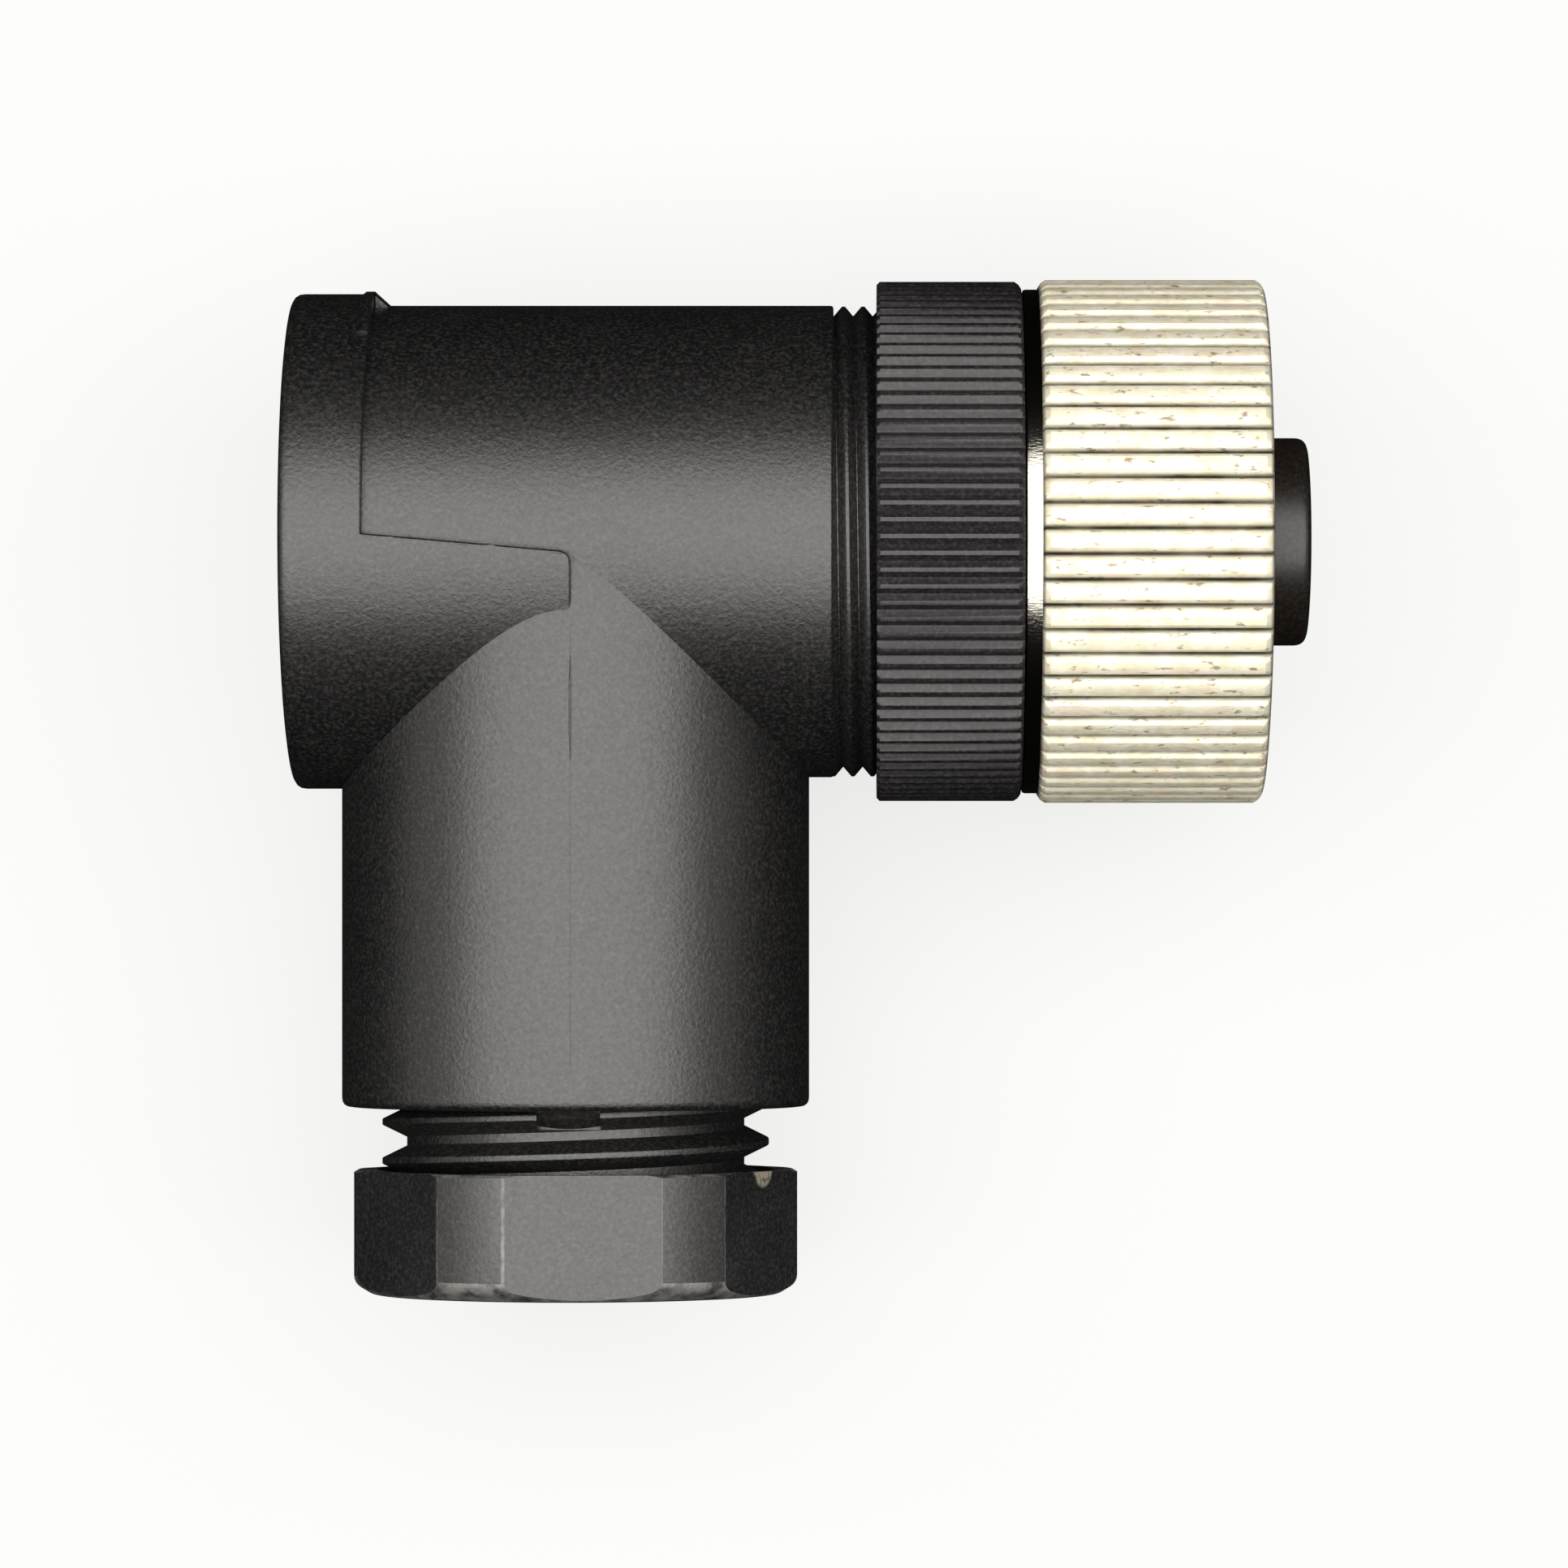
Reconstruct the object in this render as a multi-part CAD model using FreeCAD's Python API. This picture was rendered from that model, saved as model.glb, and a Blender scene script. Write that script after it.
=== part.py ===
# Right-angled round cable connector, screw terminals inside and a cable gland on its neck.
# Millimetres. The plug axis is +X, pointing out of the mating face, whose centre is the origin.
# The neck runs along -Y, and the L of plug axis and neck lies flat, with +Z up.
import FreeCAD, Part
import math
import os

from FreeCAD import Vector

# Clearances shared by every fit
RUN_GAP = 0.05
SLIDE_GAP = 0.1
PUSH_GAP = 0.04

# How far a cutting tool runs past the face that it opens, and a foot sinks into what carries it
PAST = 1.0
SUNK = 0.5

# Nose of the contact carrier, the round insulator that enters the mating connector
NOSE_RADIUS = 4.0
NOSE_REACH = 1.74
NOSE_EDGE = 0.5
KEY_WIDTH = 0.9
KEY_DEPTH = 0.65

# Contacts, on a circle in the nose, with their terminals on a wider circle behind
CONTACT_COUNT = 4
CONTACT_CIRCLE = 2.5
CONTACT_RADIUS = 0.9
CONTACT_SLIT = 0.2
PIN_RADIUS = 0.5
MOUTH_RADIUS = 0.65
MOUTH_DEPTH = 0.5
MOUTH_LEAD = 0.2
TERMINAL_CIRCLE = 4.05
TERMINAL_RADIUS = 1.6
TERMINAL_COVER = 1.15
TERMINAL_LENGTH = 6.2
WIRE_RADIUS = 0.85
WIRE_DEPTH = 4.9

# Terminal screws, one in the side of each terminal, the tip a share of the wire hole's radius off its centre
SCREW_RADIUS = 0.95
SCREW_HEAD_RADIUS = 1.3
SCREW_HEAD_HEIGHT = 0.9
SCREW_SLOT_WIDTH = 0.35
SCREW_SLOT_DEPTH = 0.45
SCREW_BACK = 2.6
SCREW_TIP_SHARE = 0.75

# Carrier behind the nose
CARRIER_SHOULDER = 0.8
CARRIER_SHOULDER_STEP = 0.9
CARRIER_SHOULDER_GAP = 0.25
CARRIER_WAIST_RADIUS = 5.0
INDEX_FLANGE = 1.4
INDEX_FLANGE_GAP = 0.5
INDEX_EDGE = 0.15
BARREL_LENGTH = 10.0
BARREL_EDGE = 0.3
INDEX_RIBS = 4
INDEX_POSITIONS = 8
INDEX_RIB_WIDTH = 1.5
INDEX_RIB_HEIGHT = 0.45
INDEX_RIB_LENGTH = 1.6
INDEX_LEAD = 0.25

# Seal at the root of the nose, and the one between carrier and housing
COUPLING_SEAL_CORD = 0.62
COUPLING_SEAL_SINK = 0.2
HOUSING_SEAL_CORD = 0.55

# Spring clip that keeps the nut on the carrier
CLIP_THICKNESS = 0.5
CLIP_DEPTH = 0.4
CLIP_STANDS_OUT = 0.8
CLIP_OPENING = 70.0

# Knurls: V grooves with a narrow floor, between teeth whose crests are rounded off
KNURL_SOFT_SHARE = 0.45
KNURL_SOFT_DROP = 0.3
KNURL_FLOOR_SHARE = 0.18
KNURL_SPARE = 0.02

# Clamp ring, black, screwed over the front of the housing
RING_WALL = 0.9
RING_LENGTH = 5.54
RING_RIDGES = 100
RING_RIDGE_DEPTH = 0.22
RING_GROOVE_WIDTH = 0.34
RING_CHAMFER = 0.25
RING_REAR_CHAMFER = 0.125
RING_LIP = 1.2
RING_LIP_HOLD = 1.7

# Coupling nut, nickel plated, with a straight knurl and an M12 x 1 thread inside
NUT_OVER_RING = 0.08
NUT_KNURL_LENGTH = 8.64
NUT_HUB_LENGTH = 0.6
NUT_HUB_STEP = 0.38
NUT_TEETH = 64
NUT_TOOTH_DEPTH = 0.32
NUT_GROOVE_WIDTH = 0.68
NUT_CHAMFER = 0.3
NUT_THREAD_MAJOR = 6.0
NUT_THREAD_DEPTH = 0.55
NUT_THREAD_PITCH = 1.0
NUT_THREAD_TURNS = 5
NUT_THREAD_FLAT = 0.1
NUT_LEAD_IN = 0.5
NUT_COLLAR = 2.0

# Threads: the ridge's foot, sunk below the root, and its crest, as shares of the pitch each side
THREAD_SINK = 0.12
THREAD_FOOT_SHARE = 0.43
THREAD_CREST_SHARE = 0.1
THREAD_END_GAP = 0.1

# Housing
SPIGOT_WALL = 0.74
RING_THREAD_PITCH = 0.75
RING_THREAD_DEPTH = 0.36
RING_THREAD_SHOWN = 1.66
RING_THREAD_BURIED = 0.5
RING_THREAD_TURN = 0.75
BODY_OVER_THREAD = 0.03
BODY_FRONT_TO_NECK = 0.94
SEAM_OVER_NECK = 1.35
HOUSING_BORE_WALL = 1.48
REAR_WALL = 1.36
BODY_EDGE = 0.12
REAR_EDGE = 0.2
SPIGOT_EDGE = 0.2
NECK_STEP = 0.08
NECK_END = 21.77
NECK_EDGE = 0.35
NECK_BORE_STEP = 0.5

# Rear cap with a skirt around the lower half of the body
CAP_LENGTH = 3.15
CAP_STEP = 0.45
CAP_WALL = 1.3
CAP_EDGE = 0.42
CAP_CORNER = 0.3
CAP_PLUG_DEPTH = 3.2
CAP_PLUG_WALL = 1.75
CAP_PLUG_EDGE = 0.2
CAP_BEAD = 0.15
CAP_BEAD_REACH = 0.2
CAP_BEAD_GROOVE = 0.3
CAP_BEAD_BACK = 0.75
CAP_SEAL_CORD = 0.45
CAP_SEAL_EASE = 0.02
CAP_SEAL_DEPTH = 0.86
CAP_SEAL_BACK = 0.75
CAP_TAB_RISE = 0.1
CAP_TAB_WIDTH = 0.45
CAP_TAB_SPREAD = 74.0
CAP_CATCH_LENGTH = 0.5
CAP_CATCH_SPREAD = 24.0
SKIRT_TOP_REAR = -0.17
SKIRT_TOP_FRONT = -0.85
SKIRT_PAST_NECK = 0.16
SKIRT_CORNER = 0.45

# Cable gland at the end of the neck
CABLE_RADIUS = 4.0
CABLE_ROOM = 0.25
SEAL_WALL = 1.6
SEAL_LENGTH = 3.7
SEAL_EDGE = 0.3
SEAL_MOUTH = 0.6
GLAND_WALL = 0.8
GLAND_THREAD_DEPTH = 0.95
GLAND_THREAD_PITCH = 1.5
GLAND_THREAD_BURIED = 0.9
GLAND_THREAD_ANGLE = 270.0
GLAND_SPIGOT = 4.6
GLAND_BORE_DEPTH = 6.6
GLAND_TRAVEL_IN = 1.2
THREAD_FLAT_SPREAD = 2.4
THREAD_FLAT_HEIGHT = 0.8
WASHER_THICKNESS = 0.6
CAGE_RING = 1.0
CAGE_FINGERS = 8
CAGE_FINGER_GAP = 0.7

# Gland nut, a hexagon with a narrow flat cut across each corner
HEX_WALL = 0.5
HEX_CORNER_STEP = 0.41
HEX_OFF_NECK = 2.42
HEX_OFF_SPIGOT = 1.3
HEX_FLOOR = 1.3
HEX_CONE = 0.7
HEX_TURN = 3.0
HEX_CHAMFER = 0.42
HEX_REAR_CHAMFER = 0.15
HEX_HOLE_GAP = 0.35
HEX_HOLE_EDGE = 0.3
HEX_BORE_EDGE = 0.15

ORIGIN = Vector(0, 0, 0)
X_AXIS = Vector(1, 0, 0)
Y_AXIS = Vector(0, 1, 0)
Z_AXIS = Vector(0, 0, 1)

# Radii about the plug axis, from the terminals outwards
barrel_radius = TERMINAL_CIRCLE + TERMINAL_RADIUS + TERMINAL_COVER
carrier_bore_radius = barrel_radius + SLIDE_GAP
seal_seat_radius = barrel_radius + 2 * HOUSING_SEAL_CORD + RUN_GAP
ring_thread_root = seal_seat_radius + SPIGOT_WALL
ring_thread_crest = ring_thread_root + RING_THREAD_DEPTH
ring_bore_radius = ring_thread_crest + RUN_GAP
ring_radius = ring_bore_radius + RING_WALL
index_flange_radius = ring_bore_radius - INDEX_FLANGE_GAP
ring_lip_radius = index_flange_radius - RING_LIP_HOLD
nut_radius = ring_radius + NUT_OVER_RING
nut_hub_radius = nut_radius - NUT_HUB_STEP
shoulder_radius = CARRIER_WAIST_RADIUS + CARRIER_SHOULDER_STEP
nut_relief_radius = shoulder_radius + CARRIER_SHOULDER_GAP
clip_radius = CARRIER_WAIST_RADIUS + CLIP_STANDS_OUT
body_radius = ring_thread_crest + BODY_OVER_THREAD
chamber_radius = body_radius - HOUSING_BORE_WALL
rear_opening_radius = body_radius - REAR_WALL
plug_radius = rear_opening_radius - PUSH_GAP
plug_bore_radius = plug_radius - CAP_PLUG_WALL
cap_radius = body_radius + CAP_STEP
cap_bore_radius = body_radius + PUSH_GAP
neck_radius = body_radius - NECK_STEP

# Stations along the plug axis, from the tip of the nose backwards
nut_front = -NOSE_REACH
nut_knurl_rear = nut_front - NUT_KNURL_LENGTH
nut_rear = nut_knurl_rear - NUT_HUB_LENGTH
nut_collar_front = nut_rear + NUT_COLLAR
shoulder_rear = nut_collar_front + RUN_GAP
shoulder_front = shoulder_rear + CARRIER_SHOULDER
clip_front = nut_rear - RUN_GAP
clip_rear = clip_front - CLIP_THICKNESS
ring_front = nut_rear - RUN_GAP
ring_rear = ring_front - RING_LENGTH
index_front = ring_front - RING_LIP - RUN_GAP
index_rear = index_front - INDEX_FLANGE
spigot_front = index_rear - RUN_GAP
seal_seat_rear = index_rear - 2 * HOUSING_SEAL_CORD - RUN_GAP
body_front = ring_rear - RING_THREAD_SHOWN
neck_x = body_front - BODY_FRONT_TO_NECK - neck_radius
seam_x = neck_x - neck_radius + SEAM_OVER_NECK
cap_rear = seam_x - CAP_LENGTH
cap_floor = cap_rear + CAP_WALL
tube_rear = cap_floor + RUN_GAP
plug_front = cap_floor + CAP_PLUG_DEPTH
bead_x = plug_front - CAP_BEAD_BACK
cap_groove_rear = cap_floor + CAP_SEAL_BACK
cap_groove_front = cap_groove_rear + 2 * CAP_SEAL_CORD + RUN_GAP
barrel_rear = index_rear - BARREL_LENGTH
terminal_rear = barrel_rear + RUN_GAP
terminal_front = terminal_rear + TERMINAL_LENGTH
screw_x = terminal_rear + SCREW_BACK

# Radii about the neck axis, from the cable outwards
gland_fit_radius = CABLE_RADIUS + SEAL_WALL
gland_bore_radius = gland_fit_radius + SLIDE_GAP
neck_bore_radius = gland_bore_radius - NECK_BORE_STEP
gland_thread_root = gland_bore_radius + GLAND_WALL
gland_thread_crest = gland_thread_root + GLAND_THREAD_DEPTH
hex_bore_radius = gland_thread_crest + RUN_GAP
hex_flats = 2 * (hex_bore_radius + HEX_WALL)
hex_corner_flats = hex_flats + 2 * HEX_CORNER_STEP
hex_hole_radius = CABLE_RADIUS + HEX_HOLE_GAP
cage_tip_radius = gland_fit_radius - HEX_CONE + RUN_GAP

# Stations along the neck, as distances from the plug axis
spigot_end = NECK_END + GLAND_SPIGOT
gland_bore_start = spigot_end - GLAND_BORE_DEPTH
seal_start = gland_bore_start + GLAND_TRAVEL_IN
washer_start = seal_start + SEAL_LENGTH
cage_start = washer_start + WASHER_THICKNESS
hex_start = NECK_END + HEX_OFF_NECK
hex_floor = spigot_end + HEX_OFF_SPIGOT
hex_end = hex_floor + HEX_FLOOR
cage_tip = hex_floor + HEX_CONE - RUN_GAP


def corner_points(before, here, after, radius):
    """Start, middle and end of the arc that rounds the corner at 'here'."""
    back = (before - here).normalize()
    ahead = (after - here).normalize()
    half_angle = back.getAngle(ahead) / 2
    reach = radius / math.tan(half_angle)
    centre_way = (back + ahead).normalize()
    middle = here + centre_way * (radius / math.sin(half_angle) - radius)
    return here + back * reach, middle, here + ahead * reach


def outline(corners):
    """Closed face in the XY plane. A corner is (x, y), or (x, y, radius) where it is rounded."""
    spots = [Vector(c[0], c[1], 0) for c in corners]
    edges = []
    ends = []
    for i, corner in enumerate(corners):
        if len(corner) == 3 and corner[2] > 0:
            arc = corner_points(spots[i - 1], spots[i], spots[(i + 1) % len(spots)], corner[2])
            ends.append((arc[0], arc[2]))
            edges.append(Part.Arc(*arc).toShape())
        else:
            ends.append((spots[i], spots[i]))
    for i, (start, finish) in enumerate(ends):
        following = ends[(i + 1) % len(ends)][0]
        if finish.distanceToPoint(following) > 1e-6:
            edges.append(Part.LineSegment(finish, following).toShape())
    return Part.Face(Part.Wire(Part.__sortEdges__(edges)))


def turned(corners):
    """Solid turned about the X axis from corners given as (x, radius)."""
    return outline(corners).revolve(ORIGIN, X_AXIS, 360)


def rod(radius, start, finish):
    """Cylinder on the X axis between two stations."""
    low = min(start, finish)
    return Part.makeCylinder(radius, abs(finish - start), Vector(low, 0, 0), X_AXIS)


def tube(outer, inner, start, finish):
    return rod(outer, start, finish).cut(rod(inner, start, finish))


def cord_ring(cord_radius, inner_radius, x):
    """O-ring about the X axis, its cord just touching a shaft of the inner radius."""
    return Part.makeTorus(inner_radius + cord_radius, cord_radius, Vector(x, 0, 0), X_AXIS)


def spun(shape, angle):
    """Copy of a shape turned about the X axis, in degrees."""
    copy = shape.copy()
    copy.rotate(ORIGIN, X_AXIS, angle)
    return copy


def on_neck(shape):
    """Turns a shape made about +X so that it lies on the neck axis, with +X pointing out of the neck."""
    copy = shape.copy()
    copy.rotate(ORIGIN, Z_AXIS, -90)
    copy.translate(Vector(neck_x, 0, 0))
    return copy


def sector(radius, start, finish, spread):
    """Wedge about the X axis, centred on +Y, spread degrees wide."""
    wedge = Part.makeCylinder(radius, finish - start, Vector(start, 0, 0), X_AXIS, spread)
    probe = wedge.CenterOfMass
    return spun(wedge, -math.degrees(math.atan2(probe.z, probe.y)))


def knurled_rod(start, finish, crest, depth, count, groove_width):
    """Straight-knurled rod: V grooves, and teeth with rounded crests between them."""
    step = 2 * math.pi / count
    half_groove = groove_width / crest / 2
    soft = half_groove * KNURL_SOFT_SHARE
    soft_radius = crest - depth * KNURL_SOFT_DROP
    floor = half_groove * KNURL_FLOOR_SHARE
    points = []
    for i in range(count):
        middle = i * step
        for angle, radius in (
            (middle - half_groove - soft, crest),
            (middle - half_groove, soft_radius),
            (middle - floor, crest - depth),
            (middle + floor, crest - depth),
            (middle + half_groove, soft_radius),
            (middle + half_groove + soft, crest),
        ):
            points.append(Vector(start, radius * math.cos(angle), radius * math.sin(angle)))
    points.append(points[0])
    face = Part.Face(Part.makePolygon(points))
    return face.extrude(Vector(finish - start, 0, 0))


def helical_ridge(pitch, turns, root, crest, start, angle):
    """Right-handed thread ridge about +X, its foot sunk a little below the root."""
    foot = root - THREAD_SINK
    half_foot = THREAD_FOOT_SHARE * pitch
    half_crest = THREAD_CREST_SHARE * pitch
    helix = Part.makeHelix(pitch, pitch * turns, root)
    profile = [
        Vector(foot, 0, -half_foot),
        Vector(crest, 0, -half_crest),
        Vector(crest, 0, half_crest),
        Vector(foot, 0, half_foot),
    ]
    wire = Part.makePolygon(profile + profile[:1])
    ridge = Part.Wire(helix.Edges).makePipeShell([wire], True, True)
    ridge.rotate(ORIGIN, Y_AXIS, 90)
    ridge.rotate(ORIGIN, X_AXIS, angle)
    ridge.translate(Vector(start, 0, 0))
    return ridge


def contact_angles():
    return [360.0 / CONTACT_COUNT * (i + 0.5) for i in range(CONTACT_COUNT)]


# Contact carrier, the front of the insulator: nose, shoulder and waist
def contact_carrier():
    seal_groove_front = shoulder_front + 2 * COUPLING_SEAL_CORD
    groove_radius = NOSE_RADIUS - COUPLING_SEAL_SINK
    body = turned([
        (0, 0),
        (0, NOSE_RADIUS, NOSE_EDGE),
        (seal_groove_front, NOSE_RADIUS),
        (seal_groove_front, groove_radius),
        (shoulder_front, groove_radius),
        (shoulder_front, shoulder_radius),
        (shoulder_rear, shoulder_radius),
        (shoulder_rear, CARRIER_WAIST_RADIUS),
        (clip_front, CARRIER_WAIST_RADIUS),
        (clip_front, CARRIER_WAIST_RADIUS - CLIP_DEPTH),
        (clip_rear, CARRIER_WAIST_RADIUS - CLIP_DEPTH),
        (clip_rear, CARRIER_WAIST_RADIUS),
        (index_front, CARRIER_WAIST_RADIUS),
        (index_front, 0),
    ])
    key_slot = Part.makeBox(
        -seal_groove_front, KEY_DEPTH + PAST, KEY_WIDTH,
        Vector(seal_groove_front, NOSE_RADIUS - KEY_DEPTH, -KEY_WIDTH / 2),
    )
    return body.cut([key_slot] + contact_channels())


# Index flange, the insulator's middle: the flange that the ring presses, and ribs that set the angle
def index_flange():
    body = turned([
        (index_front, 0),
        (index_front, index_flange_radius - INDEX_EDGE),
        (index_front - INDEX_EDGE, index_flange_radius),
        (index_rear, index_flange_radius),
        (index_rear, barrel_radius),
        (terminal_front, barrel_radius),
        (terminal_front, 0),
    ])
    rib = index_rib(barrel_radius + INDEX_RIB_HEIGHT, INDEX_RIB_WIDTH, INDEX_RIB_LENGTH)
    body = body.fuse([spun(rib, 360.0 / INDEX_RIBS * i) for i in range(INDEX_RIBS)])
    return body.cut(contact_channels())


# Terminal block: the barrel's rear, slid onto the contacts from behind, with a pocket for each terminal
def terminal_block():
    body = turned([
        (terminal_front, 0),
        (terminal_front, barrel_radius),
        (barrel_rear + BARREL_EDGE, barrel_radius),
        (barrel_rear, barrel_radius - BARREL_EDGE),
        (barrel_rear, 0),
    ])
    pocket = terminal_pocket()
    return body.cut([spun(pocket, angle) for angle in contact_angles()])


def index_rib(radius, width, length):
    """Rib on the barrel just behind the housing's seal seat, or the notch that it slides in."""
    return Part.makeBox(
        length, radius - barrel_radius + PAST, width,
        Vector(seal_seat_rear - RUN_GAP - length, barrel_radius - PAST, -width / 2),
    )


def contact_channels():
    """Room in the insulator for the sockets and the mating pins."""
    mouth = rod(MOUTH_RADIUS, -MOUTH_DEPTH, PAST)
    channel = rod(CONTACT_RADIUS + PUSH_GAP, terminal_front - PAST, -MOUTH_DEPTH)
    lead_in = Part.makeCone(
        MOUTH_RADIUS, MOUTH_RADIUS + MOUTH_LEAD, MOUTH_LEAD, Vector(-MOUTH_LEAD, 0, 0), X_AXIS
    )
    room = mouth.fuse([channel, lead_in])
    room.translate(Vector(0, CONTACT_CIRCLE, 0))
    return [spun(room, angle) for angle in contact_angles()]


def terminal_pocket():
    """Room in the block for one terminal and its screw."""
    pocket = rod(TERMINAL_RADIUS + PUSH_GAP, barrel_rear - PAST, terminal_front + PAST)
    pocket.translate(Vector(0, TERMINAL_CIRCLE, 0))
    screw_way = Part.makeCylinder(
        SCREW_HEAD_RADIUS + PUSH_GAP, barrel_radius - TERMINAL_CIRCLE + PAST,
        Vector(screw_x, TERMINAL_CIRCLE, 0), Y_AXIS,
    )
    return pocket.fuse(screw_way)


# Contact: a socket for the mating pin, turned in one piece with its screw terminal
def contact(angle):
    socket = rod(CONTACT_RADIUS, terminal_front, -MOUTH_DEPTH)
    socket.translate(Vector(0, CONTACT_CIRCLE, 0))
    terminal = rod(TERMINAL_RADIUS, terminal_rear, terminal_front)
    terminal.translate(Vector(0, TERMINAL_CIRCLE, 0))
    pin_hole = rod(PIN_RADIUS, shoulder_rear, 0)
    pin_hole.translate(Vector(0, CONTACT_CIRCLE, 0))
    slit = Part.makeBox(
        -shoulder_rear, 4 * CONTACT_RADIUS, CONTACT_SLIT,
        Vector(shoulder_rear, CONTACT_CIRCLE - 2 * CONTACT_RADIUS, -CONTACT_SLIT / 2),
    )
    wire_hole = rod(WIRE_RADIUS, terminal_rear - PAST, terminal_rear + WIRE_DEPTH)
    wire_hole.translate(Vector(0, TERMINAL_CIRCLE, 0))
    screw_hole = Part.makeCylinder(
        SCREW_RADIUS + PUSH_GAP, TERMINAL_RADIUS + PAST, Vector(screw_x, TERMINAL_CIRCLE, 0), Y_AXIS
    )
    seat = Part.makeCylinder(
        SCREW_HEAD_RADIUS + PUSH_GAP, TERMINAL_RADIUS,
        Vector(screw_x, screw_head_bottom() - PUSH_GAP, 0), Y_AXIS,
    )
    return spun(socket.fuse(terminal).cut([pin_hole, slit, wire_hole, screw_hole, seat]), angle)


def screw_head_bottom():
    return barrel_radius - SLIDE_GAP - SCREW_HEAD_HEIGHT


# Terminal screw: slotted cheese head outwards, its tip at the wire hole
def terminal_screw(angle):
    tip = TERMINAL_CIRCLE + WIRE_RADIUS * SCREW_TIP_SHARE
    bottom = screw_head_bottom()
    shank = Part.makeCylinder(SCREW_RADIUS, bottom - tip + RUN_GAP, Vector(screw_x, tip, 0), Y_AXIS)
    head = Part.makeCylinder(SCREW_HEAD_RADIUS, SCREW_HEAD_HEIGHT, Vector(screw_x, bottom, 0), Y_AXIS)
    dome = rod(
        barrel_radius - SLIDE_GAP / 2, screw_x - 2 * SCREW_HEAD_RADIUS, screw_x + 2 * SCREW_HEAD_RADIUS
    )
    slot_floor = bottom + SCREW_HEAD_HEIGHT - SCREW_SLOT_DEPTH
    slot = Part.makeBox(
        4 * SCREW_HEAD_RADIUS, SCREW_SLOT_DEPTH + PAST, SCREW_SLOT_WIDTH,
        Vector(screw_x - 2 * SCREW_HEAD_RADIUS, slot_floor, -SCREW_SLOT_WIDTH / 2),
    )
    return spun(shank.fuse(head).common(dome).cut(slot), angle)


# Coupling nut: knurled outside, threaded inside, with a collar that pulls on the carrier's shoulder
def coupling_nut():
    knurl = knurled_rod(
        nut_knurl_rear, nut_front, nut_radius, NUT_TOOTH_DEPTH, NUT_TEETH, NUT_GROOVE_WIDTH
    )
    envelope = turned([
        (nut_front, 0),
        (nut_front, nut_radius - NUT_CHAMFER),
        (nut_front - NUT_CHAMFER, nut_radius + KNURL_SPARE),
        (nut_knurl_rear + NUT_CHAMFER, nut_radius + KNURL_SPARE),
        (nut_knurl_rear, nut_radius - NUT_CHAMFER),
        (nut_knurl_rear, 0),
    ])
    hub = rod(nut_hub_radius, nut_rear, nut_knurl_rear + SUNK)
    thread_front = nut_front - NUT_LEAD_IN
    bore = [
        (nut_front + PAST, 0),
        (nut_front + PAST, NUT_THREAD_MAJOR + NUT_LEAD_IN),
        (nut_front, NUT_THREAD_MAJOR + NUT_LEAD_IN),
        (thread_front, NUT_THREAD_MAJOR),
    ]
    thread_minor = NUT_THREAD_MAJOR - NUT_THREAD_DEPTH
    for turn in range(NUT_THREAD_TURNS):
        middle = thread_front - NUT_THREAD_PITCH * (turn + 0.5)
        half_foot = NUT_THREAD_PITCH / 2 - NUT_THREAD_FLAT
        bore += [
            (middle + half_foot, NUT_THREAD_MAJOR),
            (middle + NUT_THREAD_FLAT / 2, thread_minor),
            (middle - NUT_THREAD_FLAT / 2, thread_minor),
            (middle - half_foot, NUT_THREAD_MAJOR),
        ]
    bore += [
        (thread_front - NUT_THREAD_PITCH * NUT_THREAD_TURNS, nut_relief_radius),
        (nut_collar_front, nut_relief_radius),
        (nut_collar_front, CARRIER_WAIST_RADIUS + RUN_GAP),
        (nut_rear - PAST, CARRIER_WAIST_RADIUS + RUN_GAP),
        (nut_rear - PAST, 0),
    ]
    return knurl.common(envelope).fuse(hub).cut(turned(bore))


def coupling_seal():
    return cord_ring(
        COUPLING_SEAL_CORD, NOSE_RADIUS - COUPLING_SEAL_SINK, shoulder_front + COUPLING_SEAL_CORD
    )


def nut_clip():
    """Open spring ring in the carrier's groove, behind the nut."""
    inner = CARRIER_WAIST_RADIUS - CLIP_DEPTH
    ring = tube(clip_radius, inner, clip_rear, clip_front)
    return ring.cut(sector(clip_radius + PAST, clip_rear - PAST, clip_front + PAST, CLIP_OPENING))


# Clamp ring: ridged outside, a lip in front holds the carrier's flange, the bore runs over the thread
def clamp_ring():
    ridges = knurled_rod(
        ring_rear, ring_front, ring_radius, RING_RIDGE_DEPTH, RING_RIDGES, RING_GROOVE_WIDTH
    )
    envelope = turned([
        (ring_front, 0),
        (ring_front, ring_radius - RING_CHAMFER),
        (ring_front - RING_CHAMFER, ring_radius + KNURL_SPARE),
        (ring_rear + RING_REAR_CHAMFER, ring_radius + KNURL_SPARE),
        (ring_rear, ring_radius - RING_REAR_CHAMFER),
        (ring_rear, 0),
    ])
    lip_rear = ring_front - RING_LIP
    bore = turned([
        (ring_front + PAST, 0),
        (ring_front + PAST, ring_lip_radius),
        (lip_rear, ring_lip_radius),
        (lip_rear, ring_bore_radius),
        (ring_rear - PAST, ring_bore_radius),
        (ring_rear - PAST, 0),
    ])
    return ridges.common(envelope).cut(bore)


def housing_seal():
    return cord_ring(HOUSING_SEAL_CORD, barrel_radius, index_rear - HOUSING_SEAL_CORD)


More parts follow.
